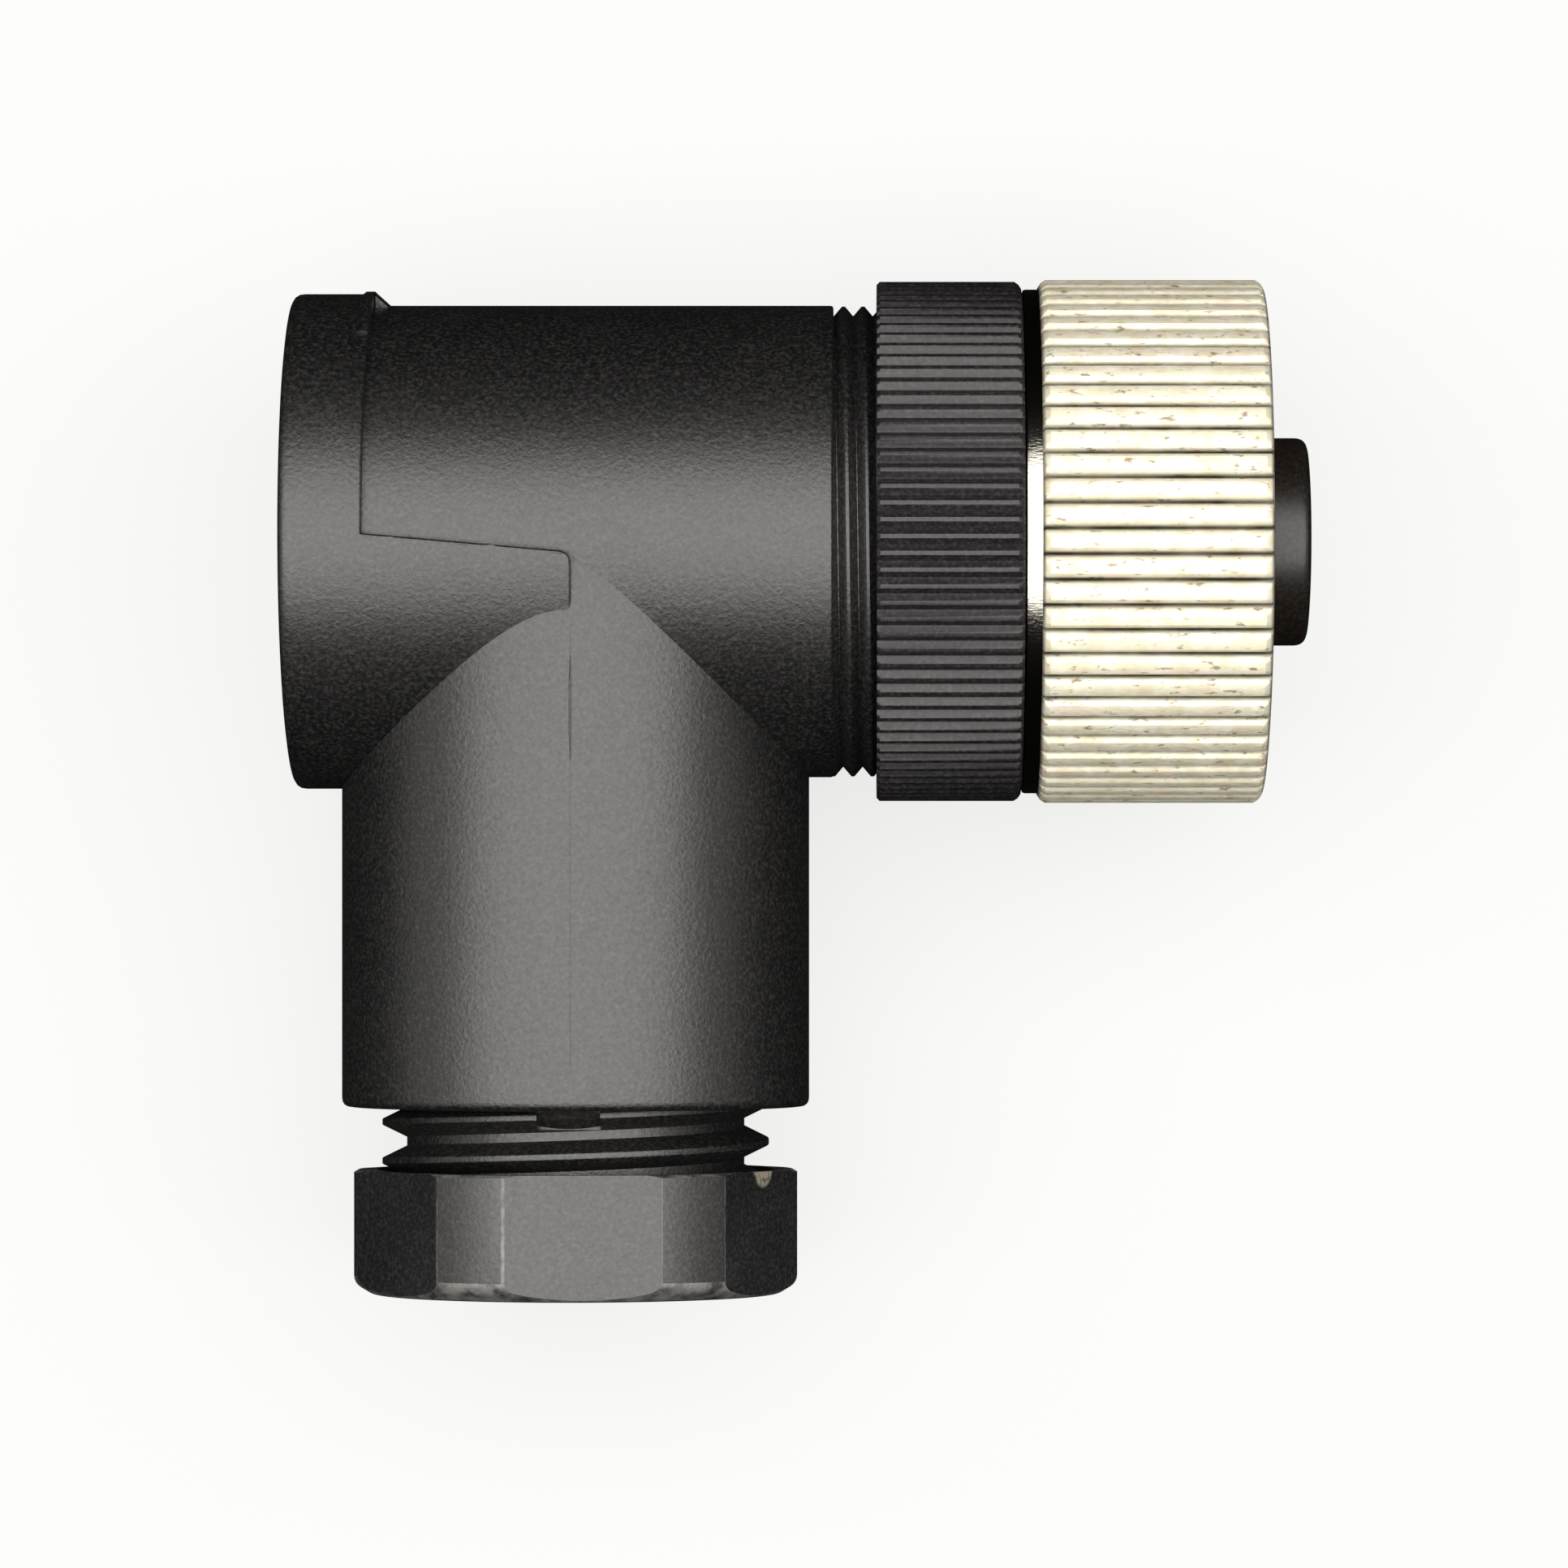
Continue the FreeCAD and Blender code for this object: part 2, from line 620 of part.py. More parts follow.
# Housing, one moulding: threaded front, body, neck and threaded gland spigot
def main_housing():
    body = turned([
        (spigot_front, 0),
        (spigot_front, ring_thread_root, SPIGOT_EDGE),
        (body_front, ring_thread_root),
        (body_front, body_radius, BODY_EDGE),
        (tube_rear, body_radius, REAR_EDGE),
        (tube_rear, 0),
    ])
    neck = on_neck(turned([
        (0, 0),
        (0, neck_radius),
        (NECK_END, neck_radius, NECK_EDGE),
        (NECK_END, gland_thread_root),
        (spigot_end, gland_thread_root, SPIGOT_EDGE),
        (spigot_end, 0),
    ]))
    outside = body.fuse([neck, cap_catch()])
    outside = outside.fuse([front_thread(), gland_thread()])
    inside = turned([
        (spigot_front + PAST, 0),
        (spigot_front + PAST, seal_seat_radius),
        (seal_seat_rear, seal_seat_radius),
        (seal_seat_rear, carrier_bore_radius),
        (barrel_rear, carrier_bore_radius),
        (barrel_rear, chamber_radius),
        (plug_front, chamber_radius),
        (plug_front, rear_opening_radius),
        (tube_rear - PAST, rear_opening_radius),
        (tube_rear - PAST, 0),
    ])
    cable_way = on_neck(turned([
        (0, 0),
        (0, neck_bore_radius),
        (gland_bore_start, neck_bore_radius),
        (gland_bore_start, gland_bore_radius),
        (spigot_end + PAST, gland_bore_radius),
        (spigot_end + PAST, 0),
    ]))
    notch = index_rib(
        barrel_radius + INDEX_RIB_HEIGHT + SLIDE_GAP, INDEX_RIB_WIDTH + 2 * SLIDE_GAP,
        INDEX_RIB_LENGTH + SLIDE_GAP,
    )
    lead = Part.makeBox(
        2 * INDEX_LEAD, INDEX_RIB_HEIGHT + SLIDE_GAP + PAST, INDEX_RIB_WIDTH + 2 * SLIDE_GAP,
        Vector(seal_seat_rear - INDEX_LEAD, barrel_radius - PAST, -INDEX_RIB_WIDTH / 2 - SLIDE_GAP),
    )
    notch = notch.fuse(lead)
    notches = [spun(notch, 360.0 / INDEX_POSITIONS * i) for i in range(INDEX_POSITIONS)]
    bead_groove = tube(
        rear_opening_radius + CAP_BEAD, plug_radius - PAST, bead_x - CAP_BEAD_GROOVE, bead_x + CAP_BEAD_GROOVE
    )
    return outside.cut([inside, cable_way, bead_groove] + notches)


def cap_catch():
    """Ramp in front of the cap's thumb tab."""
    ramp = turned([
        (seam_x + RUN_GAP, body_radius - SUNK),
        (seam_x + RUN_GAP, cap_radius),
        (seam_x + RUN_GAP + CAP_CATCH_LENGTH, body_radius),
        (seam_x + RUN_GAP + CAP_CATCH_LENGTH, body_radius - SUNK),
    ])
    return ramp.common(
        sector(cap_radius + PAST, seam_x, seam_x + CAP_CATCH_LENGTH + PAST, CAP_CATCH_SPREAD)
    )


def front_thread():
    """Fine thread under the clamp ring, from inside the body's front edge to the spigot's end."""
    half_foot = THREAD_FOOT_SHARE * RING_THREAD_PITCH
    length = spigot_front - body_front - half_foot - THREAD_END_GAP + RING_THREAD_BURIED
    turns = length / RING_THREAD_PITCH
    return helical_ridge(
        RING_THREAD_PITCH, turns, ring_thread_root, ring_thread_crest,
        body_front - RING_THREAD_BURIED, 360.0 * (RING_THREAD_TURN - RING_THREAD_BURIED / RING_THREAD_PITCH),
    )


def gland_thread():
    """Coarse thread of the gland, its top turn broken by a flat at the parting line on each side."""
    half_foot = THREAD_FOOT_SHARE * GLAND_THREAD_PITCH
    length = GLAND_SPIGOT - half_foot - THREAD_END_GAP + GLAND_THREAD_BURIED
    turns = length / GLAND_THREAD_PITCH
    ridge = helical_ridge(
        GLAND_THREAD_PITCH, turns, gland_thread_root, gland_thread_crest,
        NECK_END - GLAND_THREAD_BURIED, GLAND_THREAD_ANGLE,
    )
    reach = 2 * gland_thread_crest
    flat = Part.makeBox(
        THREAD_FLAT_HEIGHT, THREAD_FLAT_SPREAD, 2 * reach,
        Vector(NECK_END - RUN_GAP, -THREAD_FLAT_SPREAD / 2, -reach),
    )
    return on_neck(ridge.cut(flat))


# Rear cap: a cup over the body's end, a plug inside it, and a skirt round the lower half of the body
def rear_cap():
    shell = turned([
        (cap_rear, 0),
        (cap_rear, cap_radius, CAP_EDGE),
        (seam_x, cap_radius),
        (seam_x, cap_bore_radius),
        (cap_floor, cap_bore_radius),
        (cap_floor, plug_radius),
        (cap_groove_rear, plug_radius),
        (cap_groove_rear, plug_radius - CAP_SEAL_DEPTH),
        (cap_groove_front, plug_radius - CAP_SEAL_DEPTH),
        (cap_groove_front, plug_radius),
        (bead_x - CAP_BEAD_REACH, plug_radius),
        (bead_x, plug_radius + CAP_BEAD),
        (bead_x + CAP_BEAD_REACH, plug_radius),
        (plug_front, plug_radius, CAP_PLUG_EDGE),
        (plug_front, plug_bore_radius),
        (cap_floor, plug_bore_radius, CAP_CORNER),
        (cap_floor, 0),
    ])
    tab = tube(cap_radius + CAP_TAB_RISE, cap_bore_radius, seam_x - CAP_TAB_WIDTH, seam_x)
    tab = tab.common(sector(cap_radius + PAST, seam_x - PAST, seam_x + PAST, CAP_TAB_SPREAD))
    neck_hole = on_neck(rod(neck_radius + PUSH_GAP, 0, cap_radius + PAST))
    neck_hole = neck_hole.cut(rod(cap_bore_radius - PUSH_GAP, cap_rear - PAST, 0))
    return shell.fuse([tab, skirt()]).cut(neck_hole)


def skirt():
    """Half shell below the body, with a sloping top edge on both sides."""
    front = neck_x + SKIRT_PAST_NECK
    shell = tube(cap_radius, cap_bore_radius, seam_x - SUNK, front)
    reach = cap_radius + PAST
    side_view = outline([
        (seam_x - SUNK, SKIRT_TOP_REAR),
        (front, SKIRT_TOP_FRONT, SKIRT_CORNER),
        (front, -reach),
        (seam_x - SUNK, -reach),
    ])
    side_view.translate(Vector(0, 0, -reach))
    return shell.common(side_view.extrude(Vector(0, 0, 2 * reach)))


def rear_cap_seal():
    return cord_ring(
        CAP_SEAL_CORD - CAP_SEAL_EASE, plug_radius - CAP_SEAL_DEPTH,
        (cap_groove_rear + cap_groove_front) / 2,
    )


# Pieces inside the gland, in the order in which the cable meets them from within
def gland_seal():
    return on_neck(turned([
        (seal_start, CABLE_RADIUS + SEAL_EDGE),
        (seal_start, gland_fit_radius, SEAL_EDGE),
        (washer_start, gland_fit_radius),
        (washer_start, CABLE_RADIUS, SEAL_EDGE),
        (seal_start + SEAL_MOUTH, CABLE_RADIUS),
    ]))


def gland_washer():
    return on_neck(tube(gland_fit_radius, CABLE_RADIUS + CABLE_ROOM, washer_start, cage_start))


def gland_cage():
    """Ring of fingers that the nut's cone presses onto the cable."""
    inner = CABLE_RADIUS + CABLE_ROOM
    body = turned([
        (cage_start, inner),
        (cage_start, gland_fit_radius),
        (hex_floor, gland_fit_radius),
        (cage_tip, cage_tip_radius),
        (cage_tip, inner),
    ])
    gap = Part.makeBox(
        cage_tip, 2 * gland_fit_radius, CAGE_FINGER_GAP,
        Vector(cage_start + CAGE_RING, 0, -CAGE_FINGER_GAP / 2),
    )
    gaps = [spun(gap, 360.0 / CAGE_FINGERS * i) for i in range(CAGE_FINGERS)]
    return on_neck(body.cut(gaps))


# Gland nut: twelve flats, a bore that runs over the gland thread and a coned floor
def gland_nut():
    blank = hexagon(hex_flats, HEX_TURN).common(hexagon(hex_corner_flats, HEX_TURN + 30))
    half_flat = math.atan((hex_corner_flats / hex_flats - math.cos(math.pi / 6)) / math.sin(math.pi / 6))
    widest = hex_flats / 2 / math.cos(half_flat)
    envelope = turned([
        (hex_start, 0),
        (hex_start, widest - HEX_REAR_CHAMFER),
        (hex_start + HEX_REAR_CHAMFER, widest + KNURL_SPARE),
        (hex_end - HEX_CHAMFER, widest + KNURL_SPARE, HEX_CHAMFER),
        (hex_end, widest - 1.5 * HEX_CHAMFER, HEX_BORE_EDGE),
        (hex_end, 0),
    ])
    bore = turned([
        (hex_start - PAST, 0),
        (hex_start - PAST, hex_bore_radius + HEX_BORE_EDGE),
        (hex_start, hex_bore_radius + HEX_BORE_EDGE),
        (hex_start + HEX_BORE_EDGE, hex_bore_radius),
        (hex_floor, hex_bore_radius),
        (hex_floor, gland_bore_radius),
        (hex_floor + HEX_CONE, gland_bore_radius - HEX_CONE),
        (hex_floor + HEX_CONE, hex_hole_radius),
        (hex_end - HEX_HOLE_EDGE, hex_hole_radius),
        (hex_end, hex_hole_radius + HEX_HOLE_EDGE),
        (hex_end + PAST, hex_hole_radius + HEX_HOLE_EDGE),
        (hex_end + PAST, 0),
    ])
    return on_neck(blank.common(envelope).cut(bore))


def hexagon(flats, turn):
    """Hexagonal bar about the X axis with one flat facing +Z, turned towards -Y by an angle."""
    corner = flats / 2 / math.cos(math.pi / 6)
    points = []
    for i in range(7):
        angle = math.pi / 3 * i
        points.append(Vector(hex_start, corner * math.cos(angle), corner * math.sin(angle)))
    bar = Part.Face(Part.makePolygon(points)).extrude(Vector(hex_end - hex_start, 0, 0))
    return spun(bar, -turn)


def pieces():
    """Every node's name with its solid."""
    shapes = {
        "main_housing": main_housing(),
        "rear_cap": rear_cap(),
        "rear_cap_seal": rear_cap_seal(),
        "contact_carrier": contact_carrier(),
        "index_flange": index_flange(),
        "terminal_block": terminal_block(),
        "coupling_nut": coupling_nut(),
        "coupling_seal": coupling_seal(),
        "nut_clip": nut_clip(),
        "clamp_ring": clamp_ring(),
        "housing_seal": housing_seal(),
        "gland_seal": gland_seal(),
        "gland_washer": gland_washer(),
        "gland_cage": gland_cage(),
        "gland_nut": gland_nut(),
    }
    for number, angle in enumerate(contact_angles(), 1):
        shapes[f"contact_{number}"] = contact(angle)
        shapes[f"terminal_screw_{number}"] = terminal_screw(angle)
    return shapes


os.makedirs("parts", exist_ok=True)
for name, shape in pieces().items():
    solids = shape.Solids
    print(name, "solids", len(solids), "valid", shape.isValid(), "volume", round(shape.Volume, 2))
    shape.exportStep(os.path.join("parts", f"{name}.step"))
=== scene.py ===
# %% [markdown]
# # A right-angled circular cable connector
#
# The object is a screw-down cable plug about 39 mm long: a black glass-filled nylon elbow, a clip-on
# cap behind it, a ridged black clamp ring, a nickel-plated knurled nut, the black nose that enters the
# mating half, and a hexagonal cable gland on the neck. The imported model already holds every piece at
# its real size. This lesson gives the pieces that show their final form and finish.
#
# First the imported model is loaded, and its box is noted. Its box is noted, because the dressed model
# has to keep to it.

# %% The frame
import bpy
import bmesh
import math
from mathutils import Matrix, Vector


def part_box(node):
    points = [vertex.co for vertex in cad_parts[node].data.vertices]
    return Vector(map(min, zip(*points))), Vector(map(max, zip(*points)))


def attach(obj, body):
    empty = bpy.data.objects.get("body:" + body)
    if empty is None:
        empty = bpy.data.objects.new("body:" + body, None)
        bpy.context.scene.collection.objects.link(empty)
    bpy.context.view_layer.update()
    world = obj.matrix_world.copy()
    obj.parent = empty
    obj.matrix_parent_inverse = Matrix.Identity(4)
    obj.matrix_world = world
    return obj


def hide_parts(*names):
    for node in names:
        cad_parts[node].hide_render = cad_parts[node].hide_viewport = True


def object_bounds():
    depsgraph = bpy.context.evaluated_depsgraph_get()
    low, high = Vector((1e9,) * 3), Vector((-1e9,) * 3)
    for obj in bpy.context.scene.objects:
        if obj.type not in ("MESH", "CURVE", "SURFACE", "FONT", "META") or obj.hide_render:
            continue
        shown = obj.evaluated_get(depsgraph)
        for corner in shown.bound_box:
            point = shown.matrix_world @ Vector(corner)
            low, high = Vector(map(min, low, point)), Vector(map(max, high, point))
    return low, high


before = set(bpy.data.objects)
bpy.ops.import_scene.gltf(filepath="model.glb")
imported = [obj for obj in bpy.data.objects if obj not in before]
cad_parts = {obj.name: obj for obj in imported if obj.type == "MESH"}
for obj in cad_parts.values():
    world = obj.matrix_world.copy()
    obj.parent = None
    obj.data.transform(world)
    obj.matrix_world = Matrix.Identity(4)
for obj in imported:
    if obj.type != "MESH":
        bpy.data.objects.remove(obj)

cad_low, cad_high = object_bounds()
print("box of the packed model in mm:", [round(1000 * (high - low), 2) for low, high in zip(cad_low, cad_high)])

# %% [markdown]
# ## Sizes
#
# The pieces are a few centimetres long and their finest edges a tenth of a millimetre. Operators such
# as bisect and merge have tolerances meant for larger things, so each piece is modelled a thousand
# times larger, one unit to the millimetre, and shrunk when it is done. The places come from the boxes
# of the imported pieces. Only what a box can't tell, such as a wall or a rounding, is a value here.

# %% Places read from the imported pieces
MM = 0.001


def box_mm(node):
    """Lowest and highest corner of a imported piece, in millimetres."""
    low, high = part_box(node)
    return low / MM, high / MM


nut_low, nut_high = box_mm("coupling_nut")
ring_low, ring_high = box_mm("clamp_ring")
housing_low, housing_high = box_mm("main_housing")
cap_low, cap_high = box_mm("rear_cap")
hex_low, hex_high = box_mm("gland_nut")
nose_low, nose_high = box_mm("contact_carrier")
block_low, block_high = box_mm("terminal_block")

NUT_RADIUS = nut_high.y
RING_RADIUS = ring_high.y
NECK_X = (hex_low.x + hex_high.x) / 2
SPIGOT_END = -housing_low.y
HEX_START = -hex_high.y
HEX_END = -hex_low.y
print("neck axis at x =", round(NECK_X, 2), "nut radius", round(NUT_RADIUS, 2), "ring radius", round(RING_RADIUS, 2))

# %% [markdown]
# ## Turning
#
# Most pieces are round, so they are turned as on a lathe. A ring of vertices is added at the first
# corner of the section, and then extruded and scaled to each next corner, walking once round the
# section. A Spin of a drawn outline would do too, but this way each step is one move that can be read.
# A section that starts and ends near the axis begins with a filled ring and comes out closed. A tube's
# section ends where it started, and its last ring is merged with its first.

# %% Lathe
SIDES = 192
WELD = 0.0005


def object_mode():
    """Leaves edit mode with nothing selected."""
    if bpy.context.mode != "OBJECT":
        bpy.ops.object.mode_set(mode="OBJECT")
    bpy.ops.object.select_all(action="DESELECT")


def only(piece):
    """Selects one piece alone."""
    object_mode()
    piece.select_set(True)
    bpy.context.view_layer.objects.active = piece


def editing(piece):
    """Opens one piece in edit mode, selected all over."""
    only(piece)
    bpy.ops.object.mode_set(mode="EDIT")
    bpy.ops.mesh.select_all(action="SELECT")


def named(name):
    """Names the primitive just added, with its place put into its mesh."""
    piece = bpy.context.object
    piece.name = name
    piece.data.name = name
    bpy.ops.object.transform_apply(location=True, rotation=True, scale=True)
    return piece


def tidy(piece):
    """Merges doubles and points the faces outwards."""
    editing(piece)
    bpy.ops.mesh.remove_doubles(threshold=WELD)
    bpy.ops.mesh.normals_make_consistent(inside=False)
    bpy.ops.object.mode_set(mode="OBJECT")
    return piece


def turn(name, section, sides=SIDES, tube=False):
    """Turns a section of (x, radius) corners about the X axis."""
    object_mode()
    x, radius = section[0]
    bpy.ops.mesh.primitive_circle_add(
        vertices=sides, radius=radius, location=(x, 0, 0), rotation=(0, math.pi / 2, 0),
        fill_type="NOTHING" if tube else "NGON",
    )
    piece = named(name)
    editing(piece)
    for next_x, next_radius in section[1:] + (section[:1] if tube else []):
        bpy.ops.mesh.extrude_region_move(TRANSFORM_OT_translate={"value": (next_x - x, 0, 0)})
        ratio = next_radius / radius
        bpy.ops.transform.resize(value=(1, ratio, ratio), center_override=(next_x, 0, 0))
        x, radius = next_x, next_radius
    return tidy(piece)


def rounded(section, steps=4):
    """A section whose corners given as (x, radius, rounding) become short arcs."""
    corners = []
    for i, corner in enumerate(section):
        if len(corner) == 2:
            corners.append(corner)
            continue
        here = (corner[0], corner[1])
        before, after = section[i - 1], section[(i + 1) % len(section)]
        ends = []
        for other in (before, after):
            way = (other[0] - here[0], other[1] - here[1])
            reach = corner[2] / math.hypot(*way)
            ends.append((here[0] + way[0] * reach, here[1] + way[1] * reach))
        for step in range(steps + 1):
            t = step / steps
            corners.append(tuple(
                (1 - t) ** 2 * ends[0][k] + 2 * t * (1 - t) * here[k] + t ** 2 * ends[1][k] for k in (0, 1)
            ))
    return corners


# %% [markdown]
# A few more helpers make plates, join and cut solids, and copy a shape round the axis. The Boolean
# modifier joins and cuts, and is applied at once. The exact solver is used, because it keeps the thin
# slivers where two round walls meet.

# %% Plates, and boxes by their corners
def slab(name, outline, low, high):
    """A plate whose outline is drawn corner by corner in X and Y, raised from one height to another."""
    object_mode()
    bpy.ops.mesh.primitive_plane_add(size=0.1, location=(*outline[0], low))
    piece = named(name)
    editing(piece)
    bpy.ops.mesh.merge(type="CENTER")
    for (x, y), (next_x, next_y) in zip(outline, outline[1:]):
        bpy.ops.mesh.extrude_vertices_move(TRANSFORM_OT_translate={"value": (next_x - x, next_y - y, 0)})
    bpy.ops.mesh.select_all(action="SELECT")
    bpy.ops.mesh.edge_face_add()
    bpy.ops.mesh.extrude_region_move(TRANSFORM_OT_translate={"value": (0, 0, high - low)})
    return tidy(piece)


def block(name, low, high):
    """A box between two corners."""
    object_mode()
    bpy.ops.mesh.primitive_cube_add(
        size=1, location=[(a + b) / 2 for a, b in zip(low, high)], scale=[b - a for a, b in zip(low, high)]
    )
    return named(name)


# %% Choosing, cutting and copying
def choose(piece, kind, test):
    """In edit mode, selects the vertices, edges or faces that pass a test."""
    bpy.ops.mesh.select_mode(type=kind)
    bpy.ops.mesh.select_all(action="DESELECT")
    mesh = bmesh.from_edit_mesh(piece.data)
    parts = {"VERT": mesh.verts, "EDGE": mesh.edges, "FACE": mesh.faces}[kind]
    chosen = [part for part in parts if test(part)]
    for part in chosen:
        part.select_set(True)
    bmesh.update_edit_mesh(piece.data)
    return len(chosen)


def boolean(piece, tool, operation="DIFFERENCE"):
    """Takes away, adds or intersects a tool, which is used up."""
    only(piece)
    modifier = piece.modifiers.new("Solid", "BOOLEAN")
    modifier.operation = operation
    modifier.solver = "EXACT"
    modifier.object = tool
    bpy.ops.object.modifier_apply(modifier=modifier.name)
    bpy.data.objects.remove(tool)
    return piece


def spun_copies(piece, count, first=0.0):
    """Turns a shape about the X axis by a first angle, and repeats it round the axis."""
    editing(piece)
    bpy.ops.transform.rotate(value=first, orient_axis="X", center_override=(0, 0, 0))
    for copy in range(count - 1):
        bpy.ops.mesh.duplicate()
        bpy.ops.transform.rotate(value=2 * math.pi / count, orient_axis="X", center_override=(0, 0, 0))
    bpy.ops.object.mode_set(mode="OBJECT")
    return piece


def slice_of(piece, spread):
    """Keeps the part of a turned piece that lies within half the spread, in degrees, of +Y."""
    half = math.radians(spread / 2)
    for side in (1, -1):
        editing(piece)
        bpy.ops.mesh.bisect(
            plane_co=(0, 0, 0), plane_no=(0, -math.sin(half), side * math.cos(half)),
            use_fill=True, clear_outer=True,
        )
    return tidy(piece)


# %% Edges, the neck's direction, and the last step of every piece
def soften(piece, width, segments=2, angle=35):
    """Rounds every edge that is sharper than an angle."""
    only(piece)
    modifier = piece.modifiers.new("Edges", "BEVEL")
    modifier.width = width
    modifier.segments = segments
    modifier.limit_method = "ANGLE"
    modifier.angle_limit = math.radians(angle)
    bpy.ops.object.modifier_apply(modifier=modifier.name)
    return piece


def to_neck(piece):
    """Lays a piece that was turned about X on the neck's axis, its +X end towards the gland."""
    only(piece)
    piece.rotation_euler = (0, 0, -math.pi / 2)
    piece.location = (NECK_X, 0, 0)
    bpy.ops.object.transform_apply(location=True, rotation=True, scale=True)
    return piece


def settle(piece, body, node, material, smooth=30):
    """Shrinks a finished piece to real size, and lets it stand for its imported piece."""
    only(piece)
    piece.scale = (MM, MM, MM)
    bpy.ops.object.transform_apply(location=True, rotation=True, scale=True)
    bpy.ops.object.shade_smooth_by_angle(angle=math.radians(smooth))
    piece.data.materials.clear()
    piece.data.materials.append(material)
    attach(piece, body)
    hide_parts(node)
    triangles = sum(len(face.vertices) - 2 for face in piece.data.polygons)
    print(piece.name, "has", triangles, "triangles")
    return piece


# %% [markdown]
# ## Finishes
#
# The elbow, cap and gland nut are glass-filled nylon from an eroded mould: black, matt, with a fine
# grain that glitters where light glances off it. One function makes all the black plastics. A coarse
# noise gives the cloudy variation of the moulding, a fine one gives pale flecks in the colour, partly
# fibre and partly painted glints of the grain, and a third drives roughness and bump. All of them read
# Object coordinates, so they stay put on the piece.

# %% Node helpers
def new_material(name):
    """A material with its shader and its Object coordinates."""
    material = bpy.data.materials.new(name)
    material.use_nodes = True
    nodes = material.node_tree.nodes
    shader = nodes["Principled BSDF"]
    place = nodes.new("ShaderNodeTexCoord").outputs["Object"]
    return material, shader, place


def link(material, source, target):
    material.node_tree.links.new(source, target)


def noise(material, place, grain, detail=2.0, stretch=(1, 1, 1)):
    """Noise whose lumps are about 'grain' metres across, drawn out along an axis by 'stretch'."""
    nodes = material.node_tree.nodes
    mapping = nodes.new("ShaderNodeMapping")
    mapping.inputs["Scale"].default_value = [1 / grain / part for part in stretch]
    link(material, place, mapping.inputs["Vector"])
    texture = nodes.new("ShaderNodeTexNoise")
    texture.inputs["Scale"].default_value = 1.0
    texture.inputs["Detail"].default_value = detail
    texture.inputs["Roughness"].default_value = 0.6
    link(material, mapping.outputs["Vector"], texture.inputs["Vector"])
    return texture.outputs["Fac"]


def remap(material, value, low, high, to_low, to_high):
    """Spreads a value from one range to another, and holds it there."""
    node = material.node_tree.nodes.new("ShaderNodeMapRange")
    for name, number in zip(("From Min", "From Max", "To Min", "To Max"), (low, high, to_low, to_high)):
        node.inputs[name].default_value = number
    link(material, value, node.inputs["Value"])
    return node.outputs["Result"]


def mixed(material, share, first, second):
    """Mixes two colours, each a colour or the output of another node."""
    node = material.node_tree.nodes.new("ShaderNodeMix")
    node.data_type = "RGBA"
    for socket, colour in ((node.inputs[6], first), (node.inputs[7], second)):
        if isinstance(colour, tuple):
            socket.default_value = (*colour, 1)
        else:
            link(material, colour, socket)
    link(material, share, node.inputs[0])
    return node.outputs[2]


def maths(material, operation, first, second):
    """One sum on two values, each a number or the output of another node."""
    node = material.node_tree.nodes.new("ShaderNodeMath")
    node.operation = operation
    for socket, value in zip(node.inputs, (first, second)):
        if isinstance(value, (int, float)):
            socket.default_value = value
        else:
            link(material, value, socket)
    return node.outputs[0]


def bumpy(material, shader, height, depth):
    """Raises the surface by up to 'depth' metres."""
    node = material.node_tree.nodes.new("ShaderNodeBump")
    node.inputs["Strength"].default_value = 1.0
    node.inputs["Distance"].default_value = depth
    link(material, height, node.inputs["Height"])
    link(material, node.outputs["Normal"], shader.inputs["Normal"])


def spot(material, place, centre, radius):
    """A round mark, 1 inside and 0 outside, about a point given in millimetres."""
    node = material.node_tree.nodes.new("ShaderNodeVectorMath")
    node.operation = "DISTANCE"
    link(material, place, node.inputs[0])
    node.inputs[1].default_value = [part * MM for part in centre]
    return remap(material, node.outputs["Value"], 0.8 * radius * MM, radius * MM, 1.0, 0.0)


# %% Black plastics
def black_plastic(name, dark, pale, rough, grain=0.00017, depth=0.000022, fleck_and_glint=0.6, gloss=0.62):
    """Moulded black plastic, between a dark and a pale tone, with a roughness range and a share of pale flecks, partly
    painted glints.
    """
    material, shader, place = new_material(name)
    clouds = noise(material, place, 0.0022, 3.0)
    grains = noise(material, place, grain, 3.0)
    fleck_and_glint_noise = noise(material, place, grain * 0.9, 3.0)
    tone = mixed(material, remap(material, clouds, 0.3, 0.7, 0.0, 1.0), dark, pale)
    # Pale flecks in the base colour: partly fibre, partly painted glints of the grain.
    fleck_and_glint_share = remap(material, fleck_and_glint_noise, 0.46, 0.74, 0.0, fleck_and_glint)
    colour = mixed(material, fleck_and_glint_share, tone, tuple(11 * part for part in pale))
    link(material, colour, shader.inputs["Base Color"])
    link(material, remap(material, grains, 0.32, 0.68, rough[1], rough[0]), shader.inputs["Roughness"])
    bumpy(material, shader, grains, depth)
    shader.inputs["Specular IOR Level"].default_value = gloss
    shader.inputs["Specular Tint"].default_value = (1.0, 0.975, 0.945, 1)
    print(name, "roughness from", rough[0], "to", rough[1])
    return material, shader, place, colour


housing_plastic, *_ = black_plastic("housing_plastic", (0.0013, 0.0012, 0.0012), (0.003, 0.0028, 0.0027), (0.34, 0.46))
ring_plastic, *_ = black_plastic(
    "ring_plastic", (0.003, 0.0027, 0.003), (0.006, 0.0052, 0.0054), (0.36, 0.46),
    depth=0.000004, fleck_and_glint=0.3, gloss=0.4,
)
carrier_plastic, *_ = black_plastic(
    "carrier_plastic", (0.0035, 0.0026, 0.002), (0.0065, 0.0046, 0.0034), (0.34, 0.42),
    depth=0.000003, fleck_and_glint=0.2, gloss=0.42,
)
seal_rubber, *_ = black_plastic("seal_rubber", (0.008, 0.008, 0.008), (0.013, 0.013, 0.013), (0.6, 0.75), fleck_and_glint=0.0)

